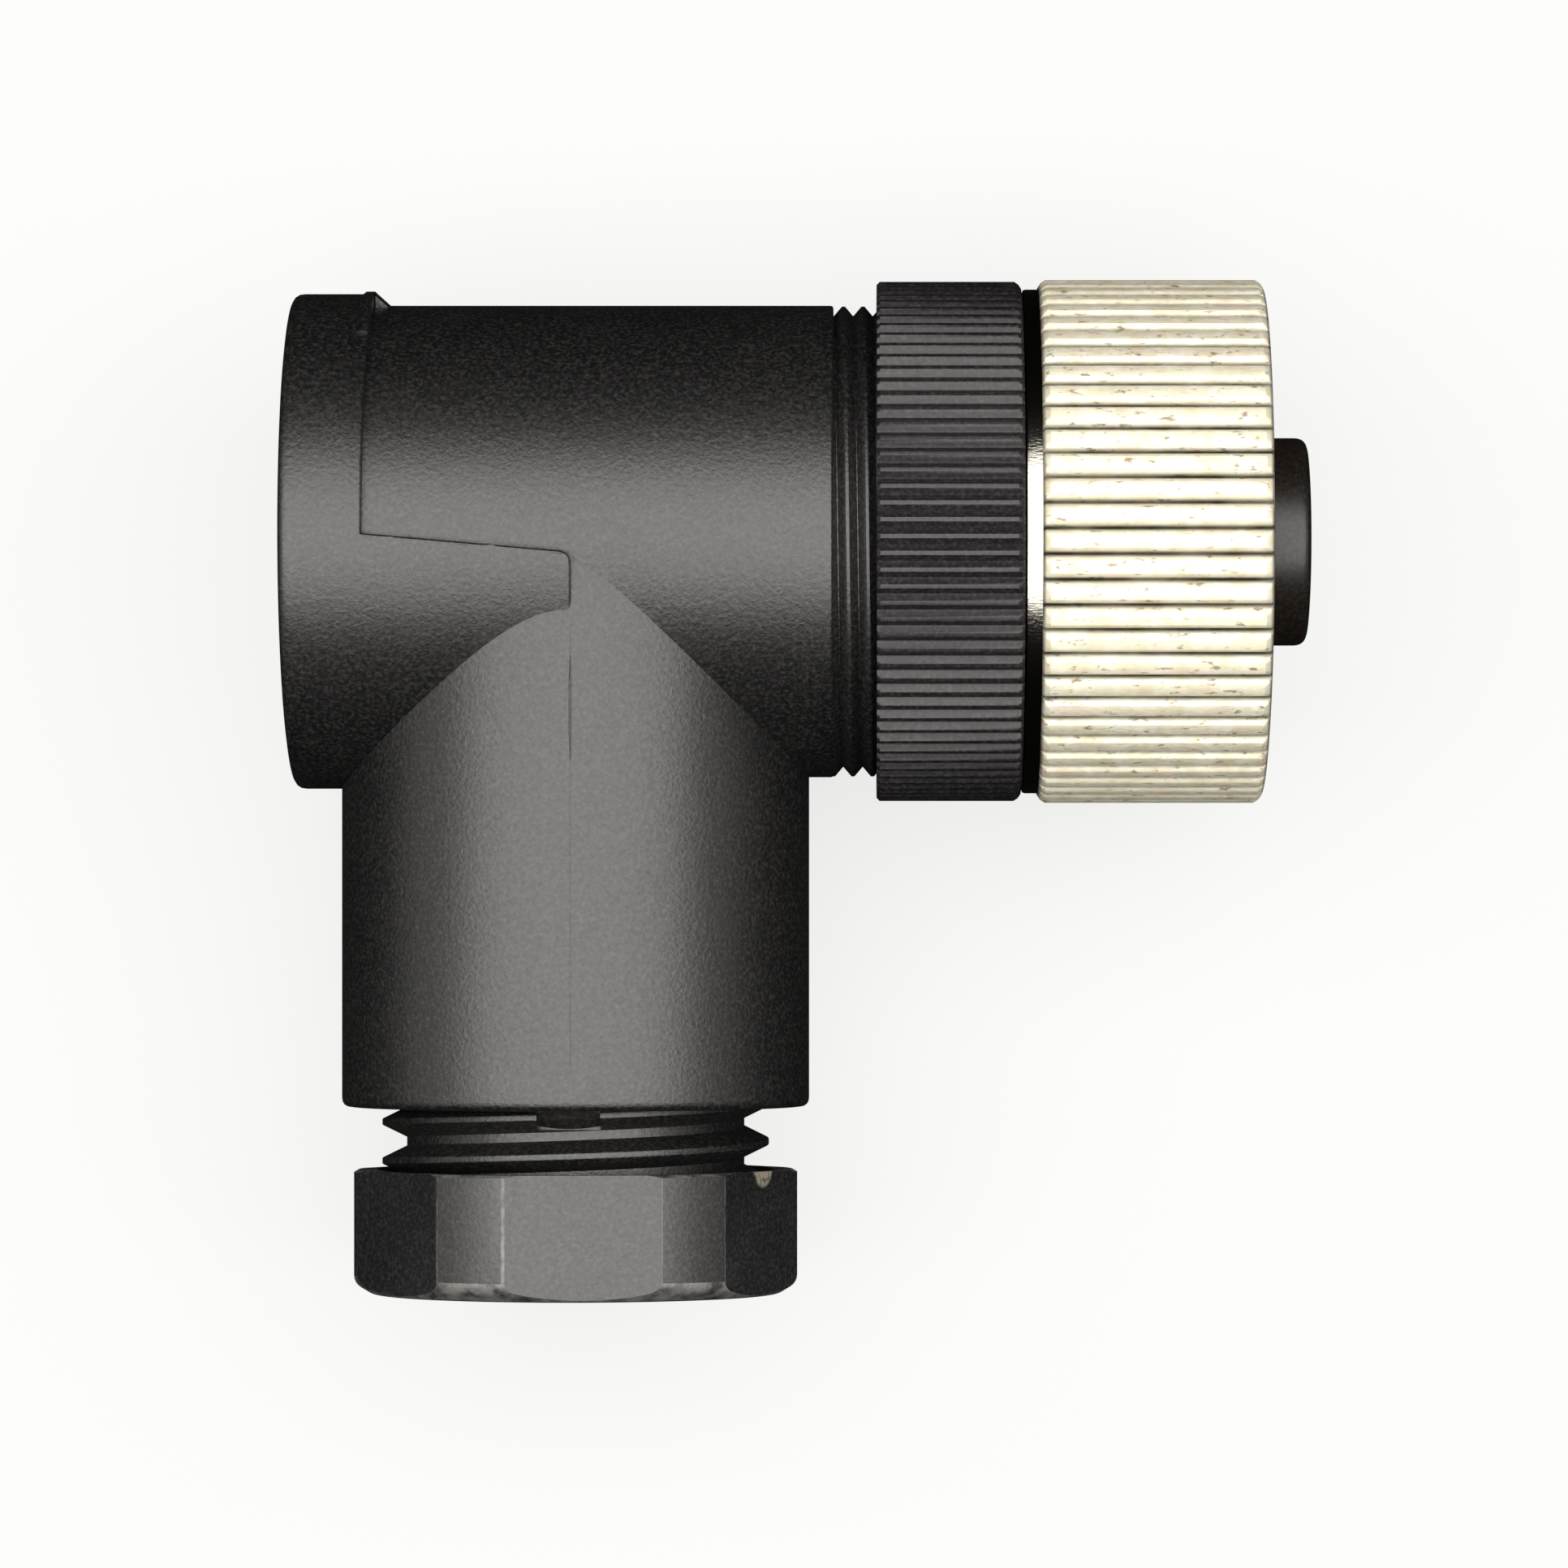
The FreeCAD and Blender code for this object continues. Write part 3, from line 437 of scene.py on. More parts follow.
# %% [markdown]
# The gland nut is the same nylon, but it has been gripped by spanners: its edges are rubbed pale. Where
# its thread starts a sliver of the moulding has broken off, and the fresh break is pale beige. The chip
# is a round mark about a point on the nut. The rubbed faces below are told from the rest by an attribute
# that the piece gets later. The most worn corner is a line, so its mark leaves the place along the neck
# out of account. All three are broken up by noises.

# %% Gland nylon with its chip
CHIP_CENTRE = (-20.8, -24.0, 3.4)
CHIP_RADIUS = 0.85
WORN_CORNER = (NECK_X - 2.43, 0, 8.19)
WORN_WIDTH = 0.08

gland_plastic, gland_shader, gland_place, gland_colour = black_plastic(
    "gland_plastic", (0.0035, 0.0034, 0.0035), (0.0062, 0.0059, 0.0058), (0.36, 0.48), depth=0.000014, fleck_and_glint=0.3
)
chip = spot(gland_plastic, gland_place, CHIP_CENTRE, CHIP_RADIUS)
chip = maths(gland_plastic, "MULTIPLY", chip, remap(
    gland_plastic, noise(gland_plastic, gland_place, 0.0003, 2.0), 0.35, 0.5, 0.3, 1.0
))
rubbed = gland_plastic.node_tree.nodes.new("ShaderNodeAttribute")
rubbed.attribute_name = "rubbed"
wear = maths(gland_plastic, "MULTIPLY", rubbed.outputs["Fac"], remap(
    gland_plastic, noise(gland_plastic, gland_place, 0.0007, 3.0), 0.35, 0.6, 0.15, 1.0
))
flattened = gland_plastic.node_tree.nodes.new("ShaderNodeMapping")
flattened.inputs["Scale"].default_value = (1, 0, 1)
link(gland_plastic, gland_place, flattened.inputs["Vector"])
worn_edge = maths(
    gland_plastic, "MULTIPLY", spot(gland_plastic, flattened.outputs["Vector"], WORN_CORNER, WORN_WIDTH),
    remap(gland_plastic, noise(gland_plastic, gland_place, 0.0005, 3.0), 0.35, 0.6, 0.1, 0.85),
)
wear = maths(gland_plastic, "MAXIMUM", wear, worn_edge)
worn_colour = mixed(gland_plastic, wear, gland_colour, (0.11, 0.105, 0.097))
link(gland_plastic, mixed(gland_plastic, chip, worn_colour, (0.2, 0.175, 0.135)), gland_shader.inputs["Base Color"])

# %% [markdown]
# The nut is brass under nickel: a warm white metal, rough from the knurling wheel and years of
# fingers, with yellowish and pinkish patches where the plating is thin and brown specks of grime. Shade
# is painted at the bottom of the grooves, told by the distance from the axis, and draws the dark lines
# between the teeth. The hub behind the knurl was never touched, and is still smooth; its colour is
# darker, a painted shade for the narrow gap between the ring and the knurl. The small metal parts inside
# share the same function with other colours.

# %% Metals
def metal(name, colour, shade, rough, depth=0.0000015):
    """Plated or bare metal, between a colour and its shade, with fine streaks along X."""
    material, shader, place = new_material(name)
    patches = noise(material, place, 0.0009, 4.0)
    streaks = noise(material, place, 0.00009, 3.0, (4, 1, 1))
    tone = mixed(material, remap(material, patches, 0.35, 0.7, 0.0, 1.0), colour, shade)
    link(material, tone, shader.inputs["Base Color"])
    finish = remap(material, streaks, 0.3, 0.7, rough[0], rough[1])
    link(material, finish, shader.inputs["Roughness"])
    bumpy(material, shader, streaks, depth)
    shader.inputs["Metallic"].default_value = 1.0
    return material, shader, place, tone, finish


contact_brass, *_ = metal("contact_brass", (0.85, 0.62, 0.28), (0.72, 0.5, 0.2), (0.2, 0.35))
spring_steel, *_ = metal("spring_steel", (0.55, 0.55, 0.56), (0.42, 0.42, 0.43), (0.25, 0.4))
screw_steel, *_ = metal("screw_steel", (0.66, 0.65, 0.62), (0.5, 0.49, 0.47), (0.22, 0.36))

# %% Nickel on the coupling nut
HUB_LENGTH = 0.6

knurl_rear = nut_low.x + HUB_LENGTH
nickel_plate, nickel_shader, nickel_place, nickel_tone, nickel_rough = metal(
    "nickel_plate", (0.78, 0.755, 0.63), (0.68, 0.62, 0.45), (0.7, 0.82), depth=0.000007
)
blush = remap(nickel_plate, noise(nickel_plate, nickel_place, 0.0014, 2.0), 0.52, 0.7, 0.0, 0.35)
tone = mixed(nickel_plate, blush, nickel_tone, (0.84, 0.67, 0.6))
grime = remap(nickel_plate, noise(nickel_plate, nickel_place, 0.00022, 3.0, (2.5, 1, 1)), 0.6, 0.7, 0.0, 0.7)
tone = mixed(nickel_plate, grime, tone, (0.2, 0.13, 0.07))
apart = nickel_plate.node_tree.nodes.new("ShaderNodeSeparateXYZ")
link(nickel_plate, nickel_place, apart.inputs["Vector"])
on_knurl = maths(nickel_plate, "GREATER_THAN", apart.outputs["X"], knurl_rear * MM)
across = maths(nickel_plate, "POWER", maths(
    nickel_plate, "ADD",
    maths(nickel_plate, "MULTIPLY", apart.outputs["Y"], apart.outputs["Y"]),
    maths(nickel_plate, "MULTIPLY", apart.outputs["Z"], apart.outputs["Z"]),
), 0.5)
# Painted shade: near black at the bottom of each groove, fading out towards the crest, broken up along X by noise.
groove_shade_floor, groove_shade_top = (NUT_RADIUS - 0.3) * MM, (NUT_RADIUS - 0.1) * MM
broken = remap(nickel_plate, noise(nickel_plate, nickel_place, 0.0009, 3.0, (3, 1, 1)), 0.35, 0.6, 0.75, 1.0)
painted_groove_shade = maths(nickel_plate, "MULTIPLY", maths(nickel_plate, "MULTIPLY", on_knurl, broken), maths(
    nickel_plate, "MULTIPLY", remap(nickel_plate, across, groove_shade_floor, groove_shade_top, 0.97, 0.0),
    maths(nickel_plate, "GREATER_THAN", across, (NUT_RADIUS - 0.45) * MM),
))
tone = mixed(nickel_plate, painted_groove_shade, tone, (0.03, 0.026, 0.018))
# Painted shade: the smooth hub gets a darker colour than the knurl.
shaded_hub_tone = mixed(nickel_plate, on_knurl, (0.33, 0.31, 0.26), tone)
link(nickel_plate, shaded_hub_tone, nickel_shader.inputs["Base Color"])
knurl_rough = maths(nickel_plate, "MULTIPLY", nickel_rough, on_knurl)
hub_rough = maths(nickel_plate, "MULTIPLY", maths(nickel_plate, "SUBTRACT", 1.0, on_knurl), 0.14)
link(nickel_plate, maths(nickel_plate, "ADD", knurl_rough, hub_rough), nickel_shader.inputs["Roughness"])
print("the knurl is rough in front of x =", round(knurl_rear, 2))

# %% [markdown]
# ## Threads
#
# The ring and the gland nut run on threads moulded on the elbow, and the coupling nut has one inside.
# A thread is one flat profile swept along a helix, so the profile is drawn from a plane, and the Screw
# modifier sweeps it: as many turns as needed, rising one pitch a turn. The ridge's foot lies inside
# the wall that carries it, outwards or inwards, and its two ends are filled.

# %% Helical ridge
STEPS_A_TURN = 72
CREST_SHARE = 0.08


def ridge(name, pitch, turns, foot, crest, start, first_angle, foot_share=0.43):
    """A right-handed thread about +X, begun at an angle from +Y to +Z, its foot a share of the pitch each side."""
    object_mode()
    bpy.ops.mesh.primitive_plane_add(size=2)
    piece = named(name)
    editing(piece)
    bpy.ops.transform.resize(value=(foot_share * pitch, abs(crest - foot) / 2, 1))
    bpy.ops.transform.translate(value=(0, (foot + crest) / 2, 0))
    choose(piece, "VERT", lambda vertex: abs(vertex.co.y - crest) < WELD)
    bpy.ops.transform.resize(value=(CREST_SHARE / foot_share, 1, 1), center_override=(0, crest, 0))
    bpy.ops.mesh.bevel(offset=0.3 * CREST_SHARE * pitch, offset_type="OFFSET", segments=2, affect="VERTICES")
    bpy.ops.mesh.select_all(action="SELECT")
    bpy.ops.mesh.delete(type="ONLY_FACE")
    bpy.ops.object.mode_set(mode="OBJECT")
    screw = piece.modifiers.new("Helix", "SCREW")
    screw.axis = "X"
    screw.angle = 2 * math.pi * turns
    screw.screw_offset = pitch * turns
    screw.steps = screw.render_steps = round(STEPS_A_TURN * turns)
    bpy.ops.object.modifier_apply(modifier=screw.name)
    editing(piece)
    bpy.ops.mesh.fill_holes(sides=12)
    piece.rotation_euler = (math.radians(first_angle), 0, 0)
    piece.location = (start, 0, 0)
    tidy(piece)
    bpy.ops.object.transform_apply(location=True, rotation=True, scale=True)
    print(name, "has", round(turns, 2), "turns from x", round(start, 2))
    return piece


# %% [markdown]
# ## Knurls
#
# The nut has 64 broad teeth between V grooves, the clamp ring 100 finer ridges. Each is turned first,
# with eight sides to a tooth. Then the vertices that lie on a groove are chosen by their angle and
# drawn in towards the axis. Where a groove meets the chamfer at either end it keeps its depth, so each
# ring of vertices is scaled by its own ratio.

# %% Cutting grooves
SIDES_A_TOOTH = 8


def groove(piece, count, front, rear, crest, depths):
    """Draws the sides of each groove in. 'depths' gives the depth below the crest at each side of a tooth."""
    editing(piece)
    step = 2 * math.pi / count

    def side_of(vertex):
        turn_share = math.atan2(vertex.co.z, vertex.co.y) / step
        return round(turn_share * SIDES_A_TOOTH) % SIDES_A_TOOTH

    rings = {
        (round(vertex.co.x, 3), round(math.hypot(vertex.co.y, vertex.co.z), 3))
        for vertex in bmesh.from_edit_mesh(piece.data).verts if rear - WELD <= vertex.co.x <= front + WELD
    }
    moved = 0
    for x, radius in sorted(rings):
        for side, depth in enumerate(depths):
            wanted = crest - depth
            if radius < crest - 1 or wanted >= radius:
                continue
            moved += choose(piece, "VERT", lambda vertex: (
                abs(vertex.co.x - x) < 0.002
                and abs(math.hypot(vertex.co.y, vertex.co.z) - radius) < 0.002
                and side_of(vertex) == side
            ))
            bpy.ops.transform.resize(value=(1, wanted / radius, wanted / radius), center_override=(x, 0, 0))
    bpy.ops.object.mode_set(mode="OBJECT")
    print(piece.name, "had", moved, "vertices drawn in")


# %% [markdown]
# ## Coupling nut
#
# The nut is turned with its smooth hub behind, its chamfered knurl, and a stepped bore with a collar.
# Then its grooves are cut, and its thread inside is a ridge that stands inwards from the bore.

# %% Nut
HUB_RADIUS = 9.7
BORE_RADIUS = 6.0
BORE_LEAD = 0.5
RELIEF_RADIUS = 6.15
THREAD_TIP = 5.45
NUT_PITCH = 1.0
NUT_THREAD_TURNS = 5
COLLAR = 2.0
COLLAR_BORE = 5.05
NUT_CHAMFER = 0.3
NUT_TEETH = 64
NUT_GROOVE = (0.34, 0.14, 0.02, 0, 0, 0, 0.02, 0.14)

thread_rear = nut_high.x - BORE_LEAD - NUT_PITCH * NUT_THREAD_TURNS
nut_section = rounded([
    (nut_low.x, COLLAR_BORE),
    (nut_low.x, HUB_RADIUS, 0.12),
    (knurl_rear, HUB_RADIUS),
    (knurl_rear, NUT_RADIUS - NUT_CHAMFER),
    (knurl_rear + 0.12, NUT_RADIUS - 0.12),
    (knurl_rear + NUT_CHAMFER, NUT_RADIUS),
    (nut_high.x - NUT_CHAMFER, NUT_RADIUS),
    (nut_high.x - 0.12, NUT_RADIUS - 0.12),
    (nut_high.x, NUT_RADIUS - NUT_CHAMFER, 0.06),
    (nut_high.x, BORE_RADIUS + BORE_LEAD, 0.06),
    (nut_high.x - BORE_LEAD, BORE_RADIUS),
    (thread_rear, BORE_RADIUS),
    (thread_rear - 0.15, RELIEF_RADIUS),
    (nut_low.x + COLLAR, RELIEF_RADIUS),
    (nut_low.x + COLLAR, COLLAR_BORE),
], steps=2)
nut = turn("nickel_coupling_nut", nut_section, NUT_TEETH * SIDES_A_TOOTH, tube=True)
groove(nut, NUT_TEETH, nut_high.x, knurl_rear, NUT_RADIUS, NUT_GROOVE)
nut_thread = ridge(
    "nut_thread", NUT_PITCH, NUT_THREAD_TURNS - 0.2, BORE_RADIUS + 0.1, THREAD_TIP,
    thread_rear + NUT_PITCH * 0.5, 20,
)
boolean(nut, nut_thread, "UNION")
settle(nut, "nut", "coupling_nut", nickel_plate)

# %% [markdown]
# ## Clamp ring
#
# The clamp ring is black plastic with a finer rib pattern. It is made in the same way as the nut. A
# lip in front presses on the insulator's flange.

# %% Ring
RING_RIDGES = 100
RING_BORE = 9.1
RING_LIP = 1.2
RING_LIP_RADIUS = 6.9
RING_GROOVE = (0.22, 0.165, 0.08, 0.006, 0, 0.006, 0.08, 0.165)

ring = turn("ridged_clamp_ring", [
    (ring_low.x, RING_BORE),
    (ring_low.x, RING_RADIUS - 0.12),
    (ring_low.x + 0.12, RING_RADIUS),
    (ring_high.x - 0.25, RING_RADIUS),
    (ring_high.x - 0.1, RING_RADIUS - 0.1),
    (ring_high.x, RING_RADIUS - 0.25),
    (ring_high.x, RING_LIP_RADIUS + 0.1),
    (ring_high.x - 0.1, RING_LIP_RADIUS),
    (ring_high.x - RING_LIP, RING_LIP_RADIUS),
    (ring_high.x - RING_LIP, RING_BORE),
], RING_RIDGES * SIDES_A_TOOTH, tube=True)
groove(ring, RING_RIDGES, ring_high.x, ring_low.x, RING_RADIUS, RING_GROOVE)
settle(ring, "ring", "clamp_ring", ring_plastic)

# %% [markdown]
# ## Nose
#
# The insulator's front is the nose that enters the mating half. It has four holes for the mating pins,
# on a circle, and a key slot that lets it in one way only. The holes are one turned plug, moved out to
# the circle and repeated round the axis. The key slot is a box.

# %% Insulator
NOSE_RADIUS = 4.0
NOSE_GROOVE = 3.8
NOSE_EDGE = 0.5
SHOULDER_RADIUS = 5.9
SHOULDER = 0.8
WAIST_RADIUS = 5.0
SEAL_WIDTH = 1.24
CLIP_FRONT = -11.03
CLIP_REAR = -11.53
CLIP_DEPTH = 0.4
CONTACT_CIRCLE = 2.5
CONTACTS = 4
CONTACT_RADIUS = 0.94
MOUTH_RADIUS = 0.65
MOUTH_LEAD = 0.2
MOUTH_DEPTH = 0.5
KEY_WIDTH = 0.9
KEY_DEPTH = 0.65

shoulder_rear = nut_low.x + COLLAR + 0.05
shoulder_front = shoulder_rear + SHOULDER
nose = turn("plug_insulator", rounded([
    (nose_low.x, 1),
    (nose_low.x, WAIST_RADIUS),
    (CLIP_REAR, WAIST_RADIUS),
    (CLIP_REAR, WAIST_RADIUS - CLIP_DEPTH),
    (CLIP_FRONT, WAIST_RADIUS - CLIP_DEPTH),
    (CLIP_FRONT, WAIST_RADIUS),
    (shoulder_rear, WAIST_RADIUS),
    (shoulder_rear, SHOULDER_RADIUS),
    (shoulder_front, SHOULDER_RADIUS),
    (shoulder_front, NOSE_GROOVE),
    (shoulder_front + SEAL_WIDTH, NOSE_GROOVE),
    (shoulder_front + SEAL_WIDTH, NOSE_RADIUS),
    (nose_high.x, NOSE_RADIUS, NOSE_EDGE),
    (nose_high.x, 1),
], steps=6))
channel = turn("channel", [
    (nose_low.x - 1, CONTACT_RADIUS), (-MOUTH_DEPTH, CONTACT_RADIUS), (-MOUTH_DEPTH, MOUTH_RADIUS),
    (-MOUTH_LEAD, MOUTH_RADIUS), (0, MOUTH_RADIUS + MOUTH_LEAD), (1, MOUTH_RADIUS + MOUTH_LEAD),
], 48)
editing(channel)
bpy.ops.transform.translate(value=(0, CONTACT_CIRCLE, 0))
boolean(nose, spun_copies(channel, CONTACTS, math.pi / CONTACTS))
boolean(nose, block(
    "key", (shoulder_front + SEAL_WIDTH, NOSE_RADIUS - KEY_DEPTH, -KEY_WIDTH / 2), (1, NOSE_RADIUS + 1, KEY_WIDTH / 2)
))
settle(nose, "insert", "contact_carrier", carrier_plastic)

# %% [markdown]
# ## Elbow
#
# The elbow is one moulding: a round body along the plug axis, a neck across it, a fine thread in front
# and a coarse one on the spigot. Body and neck are turned apart and united, then the bores are cut.
# The line where the two rounds meet is sharp on the real part, so it is marked sharp: the neck's faces
# carry a second material slot until the two are one, which tells its side of the line.

# %% Body and neck
BODY_RADIUS = 9.08
FRONT_ROOT = 8.69
FRONT_CREST = 9.05
FRONT_PITCH = 0.75
THREAD_SHOWN = 1.66
NECK_RADIUS = 9.0
NECK_END = 21.77
GLAND_ROOT = 6.5
GLAND_CREST = 7.45
GLAND_PITCH = 1.5

body_front = ring_low.x - THREAD_SHOWN
spigot_front = housing_high.x
tube_rear = housing_low.x


def along(start, finish, radius, step=1.0):
    """Corners between two stations at one radius, close enough together to keep faces short."""
    count = max(1, round(abs(finish - start) / step))
    return [(start + (finish - start) * i / count, radius) for i in range(1, count)]


elbow = turn("moulded_elbow", rounded([
    (tube_rear, 1),
    (tube_rear, BODY_RADIUS, 0.2),
    *along(tube_rear + 0.2, body_front - 0.12, BODY_RADIUS),
    (body_front, BODY_RADIUS, 0.12),
    (body_front, FRONT_ROOT),
    (spigot_front, FRONT_ROOT, 0.2),
    (spigot_front, 1),
]))
neck = to_neck(turn("neck", rounded([
    (0, 1),
    (0, NECK_RADIUS),
    *along(0, NECK_END, NECK_RADIUS),
    (NECK_END, NECK_RADIUS, 0.35),
    (NECK_END, GLAND_ROOT),
    (SPIGOT_END, GLAND_ROOT, 0.2),
    (SPIGOT_END, 1),
])))
print("body has", len(elbow.data.polygons), "faces, neck", len(neck.data.polygons))

# %% Uniting
for solid in (elbow, neck):
    solid.data.materials.append(housing_plastic)
    solid.data.materials.append(gland_plastic)
for face in neck.data.polygons:
    face.material_index = 1
boolean(elbow, neck, "UNION")
editing(elbow)
meeting = choose(elbow, "EDGE", lambda edge: len({face.material_index for face in edge.link_faces}) > 1)
bpy.ops.mesh.mark_sharp()
print("edges where neck and body meet:", meeting)

# %% [markdown]
# Inside, the front is bored for the insulator, with a wider seat for its seal and eight notches that
# set the angle of the plug to the neck in steps of 45 degrees. Behind it lies the wiring chamber.

# %% Bores
SEAL_SEAT_RADIUS = 7.95
SEAL_SEAT_REAR = -14.83
BARREL_BORE = 6.9
CHAMBER_RADIUS = 7.6
REAR_OPENING = 7.72
PLUG_FRONT = -34.47
BEAD_X = -35.22
GLAND_BORE_START = 19.77
NECK_BORE = 5.2
GLAND_BORE = 5.7
NOTCHES = 8
NOTCH_DEPTH = 0.55
NOTCH_WIDTH = 1.7
NOTCH_LENGTH = 1.75

boolean(elbow, turn("bore", [
    (spigot_front + 1, SEAL_SEAT_RADIUS), (SEAL_SEAT_REAR, SEAL_SEAT_RADIUS), (SEAL_SEAT_REAR, BARREL_BORE),
    (block_low.x, BARREL_BORE), (block_low.x, CHAMBER_RADIUS), (PLUG_FRONT, CHAMBER_RADIUS),
    (PLUG_FRONT, REAR_OPENING), (BEAD_X + 0.3, REAR_OPENING), (BEAD_X + 0.3, REAR_OPENING + 0.15),
    (BEAD_X - 0.3, REAR_OPENING + 0.15), (BEAD_X - 0.3, REAR_OPENING), (tube_rear - 1, REAR_OPENING),
]))
boolean(elbow, to_neck(turn("cable_way", [
    (0.5, NECK_BORE), (GLAND_BORE_START, NECK_BORE), (GLAND_BORE_START, GLAND_BORE), (SPIGOT_END + 1, GLAND_BORE),
])))
notch = block(
    "notch", (SEAL_SEAT_REAR - NOTCH_LENGTH, BARREL_BORE - 0.5, -NOTCH_WIDTH / 2),
    (SEAL_SEAT_REAR + 0.2, BARREL_BORE - 0.1 + NOTCH_DEPTH, NOTCH_WIDTH / 2),
)
boolean(elbow, spun_copies(notch, NOTCHES))

# %% [markdown]
# Outside, both threads are added. The gland thread's first turn is flattened where the two halves of
# the mould meet, near and far. The same meeting leaves a fine dark line down the neck, deepest near
# the body: a thin block, its ends drawn to points, is cut into the surface. A small ramp behind the
# cap's thumb tab holds the cap shut.

# %% Threads, mould line and catch
FLAT_WIDTH = 2.4
FLAT_HEIGHT = 0.8
MOULD_LINE_X = -28.03
CATCH_LENGTH = 0.5
CATCH_SPREAD = 24

seam_x = -35.82
front_thread = ridge(
    "front_thread", FRONT_PITCH, 6.1, FRONT_ROOT - 0.01, FRONT_CREST, body_front - 0.5, -60, foot_share=0.498
)
boolean(elbow, front_thread, "UNION")
gland_thread = ridge("gland_thread", GLAND_PITCH, 3.17, GLAND_ROOT - 0.12, GLAND_CREST, NECK_END - 0.9, 180)
boolean(gland_thread, block(
    "flat", (NECK_END - 0.05, -FLAT_WIDTH / 2, -10), (NECK_END + FLAT_HEIGHT - 0.05, FLAT_WIDTH / 2, 10)
))
boolean(elbow, to_neck(gland_thread), "UNION")
for side in (1, -1):
    pocket = block("pocket", (NECK_X - FLAT_WIDTH / 2, -0.27, -0.27), (NECK_X + FLAT_WIDTH / 2, 0.27, 0.27))
    editing(pocket)
    bpy.ops.transform.rotate(value=math.pi / 4, orient_axis="X", center_override=(0, 0, 0))
    bpy.ops.transform.translate(value=(0, -NECK_END - FLAT_HEIGHT / 2 + 0.05, side * (GLAND_ROOT + 0.02)))
    boolean(elbow, pocket)


def scored(piece, start, finish, width, depth):
    """Cuts a fine line along the neck's near side, pointed at both ends."""
    score = block(
        "score", (MOULD_LINE_X - width / 2, -finish, NECK_RADIUS - depth),
        (MOULD_LINE_X + width / 2, -start, NECK_RADIUS + 1),
    )
    editing(score)
    bpy.ops.mesh.subdivide(number_cuts=3)
    for end in (-start, -finish):
        choose(score, "VERT", lambda vertex: abs(vertex.co.y - end) < WELD)
        bpy.ops.transform.resize(value=(0.1, 1, 1), center_override=(MOULD_LINE_X, end, 0))
    boolean(piece, score)


scored(elbow, 3.6, 20.5, 0.06, 0.035)
scored(elbow, 4.7, 8.6, 0.12, 0.2)
catch = slice_of(turn("catch", [
    (seam_x + 0.05, BODY_RADIUS - 0.5), (seam_x + 0.05, cap_high.y - 0.1),
    (seam_x + 0.05 + CATCH_LENGTH, BODY_RADIUS), (seam_x + 0.05 + CATCH_LENGTH, BODY_RADIUS - 0.5),
], tube=True), CATCH_SPREAD)
boolean(elbow, catch, "UNION")
settle(elbow, "housing", "main_housing", housing_plastic)

# %% [markdown]
# ## Rear cap
#
# The cap closes the wiring chamber. A plug fits into the elbow, a rim lies over its end, and a skirt
# reaches forward under the neck's root, round the body's lower half. It could be built from these
# parts, but it is simpler to turn the cap with its rim all the way forward, and to take away what
# isn't skirt with one plate that has the outline of the rest. The neck's hole is a cylinder across,
# hollow where the plug is, so that the plug stays whole.

# %% Cap
CAP_WALL = 1.3
CAP_EDGE = 0.42
CAP_RIM_EDGE = 0.12
CAP_BORE = 9.12
PLUG_RADIUS = 7.68
PLUG_BORE = 5.93
CAP_GROOVE_REAR = -36.92
CAP_GROOVE_FRONT = -35.97
CAP_GROOVE_DEPTH = 0.86
TAB_RISE = 0.1
TAB_WIDTH = 0.45
TAB_SPREAD = 74
SKIRT_TOP_REAR = -0.17
SKIRT_TOP_FRONT = -0.85
SKIRT_CORNER = 0.45
SKIRT_PAST_NECK = 0.16

cap_radius = cap_high.y - TAB_RISE
cap_rear = cap_low.x
cap_floor = cap_rear + CAP_WALL
skirt_front = NECK_X + SKIRT_PAST_NECK
cap = turn("clip_on_cap", rounded([
    (cap_rear, 1),
    (cap_rear, cap_radius, CAP_EDGE),
    *along(cap_rear + CAP_EDGE, skirt_front, cap_radius),
    (skirt_front, cap_radius),
    (skirt_front, CAP_BORE),
    (cap_floor, CAP_BORE),
    (cap_floor, PLUG_RADIUS),
    (CAP_GROOVE_REAR, PLUG_RADIUS),
    (CAP_GROOVE_REAR, PLUG_RADIUS - CAP_GROOVE_DEPTH),
    (CAP_GROOVE_FRONT, PLUG_RADIUS - CAP_GROOVE_DEPTH),
    (CAP_GROOVE_FRONT, PLUG_RADIUS),
    (BEAD_X - 0.2, PLUG_RADIUS),
    (BEAD_X, PLUG_RADIUS + 0.15),
    (BEAD_X + 0.2, PLUG_RADIUS),
    (PLUG_FRONT, PLUG_RADIUS, 0.2),
    (PLUG_FRONT, PLUG_BORE),
    (cap_floor, PLUG_BORE, 0.3),
    (cap_floor, 1),
]))
beyond = cap_radius + 1
boolean(cap, slab("rest", rounded([
    (seam_x, beyond), (seam_x, SKIRT_TOP_REAR), (skirt_front, SKIRT_TOP_FRONT, SKIRT_CORNER),
    (skirt_front, -beyond), (skirt_front + 3, -beyond), (skirt_front + 3, beyond),
]), -beyond, beyond))
neck_hole = to_neck(turn("neck_hole", [(0, NECK_RADIUS + 0.04), (beyond, NECK_RADIUS + 0.04)]))
boolean(neck_hole, turn("kept", [(cap_rear - 1, BODY_RADIUS), (0, BODY_RADIUS)]))
boolean(cap, neck_hole)
tab = slice_of(turn("tab", [
    (seam_x - TAB_WIDTH, CAP_BORE + 0.1), (seam_x - TAB_WIDTH, cap_radius + 0.02),
    (seam_x - TAB_WIDTH + 0.1, cap_high.y), (seam_x - 0.05, cap_high.y), (seam_x, cap_high.y - 0.05),
    (seam_x, CAP_BORE + 0.1),
], tube=True), TAB_SPREAD)
boolean(cap, tab, "UNION")
editing(cap)
tab_side = math.cos(math.radians(TAB_SPREAD / 2 + 3))
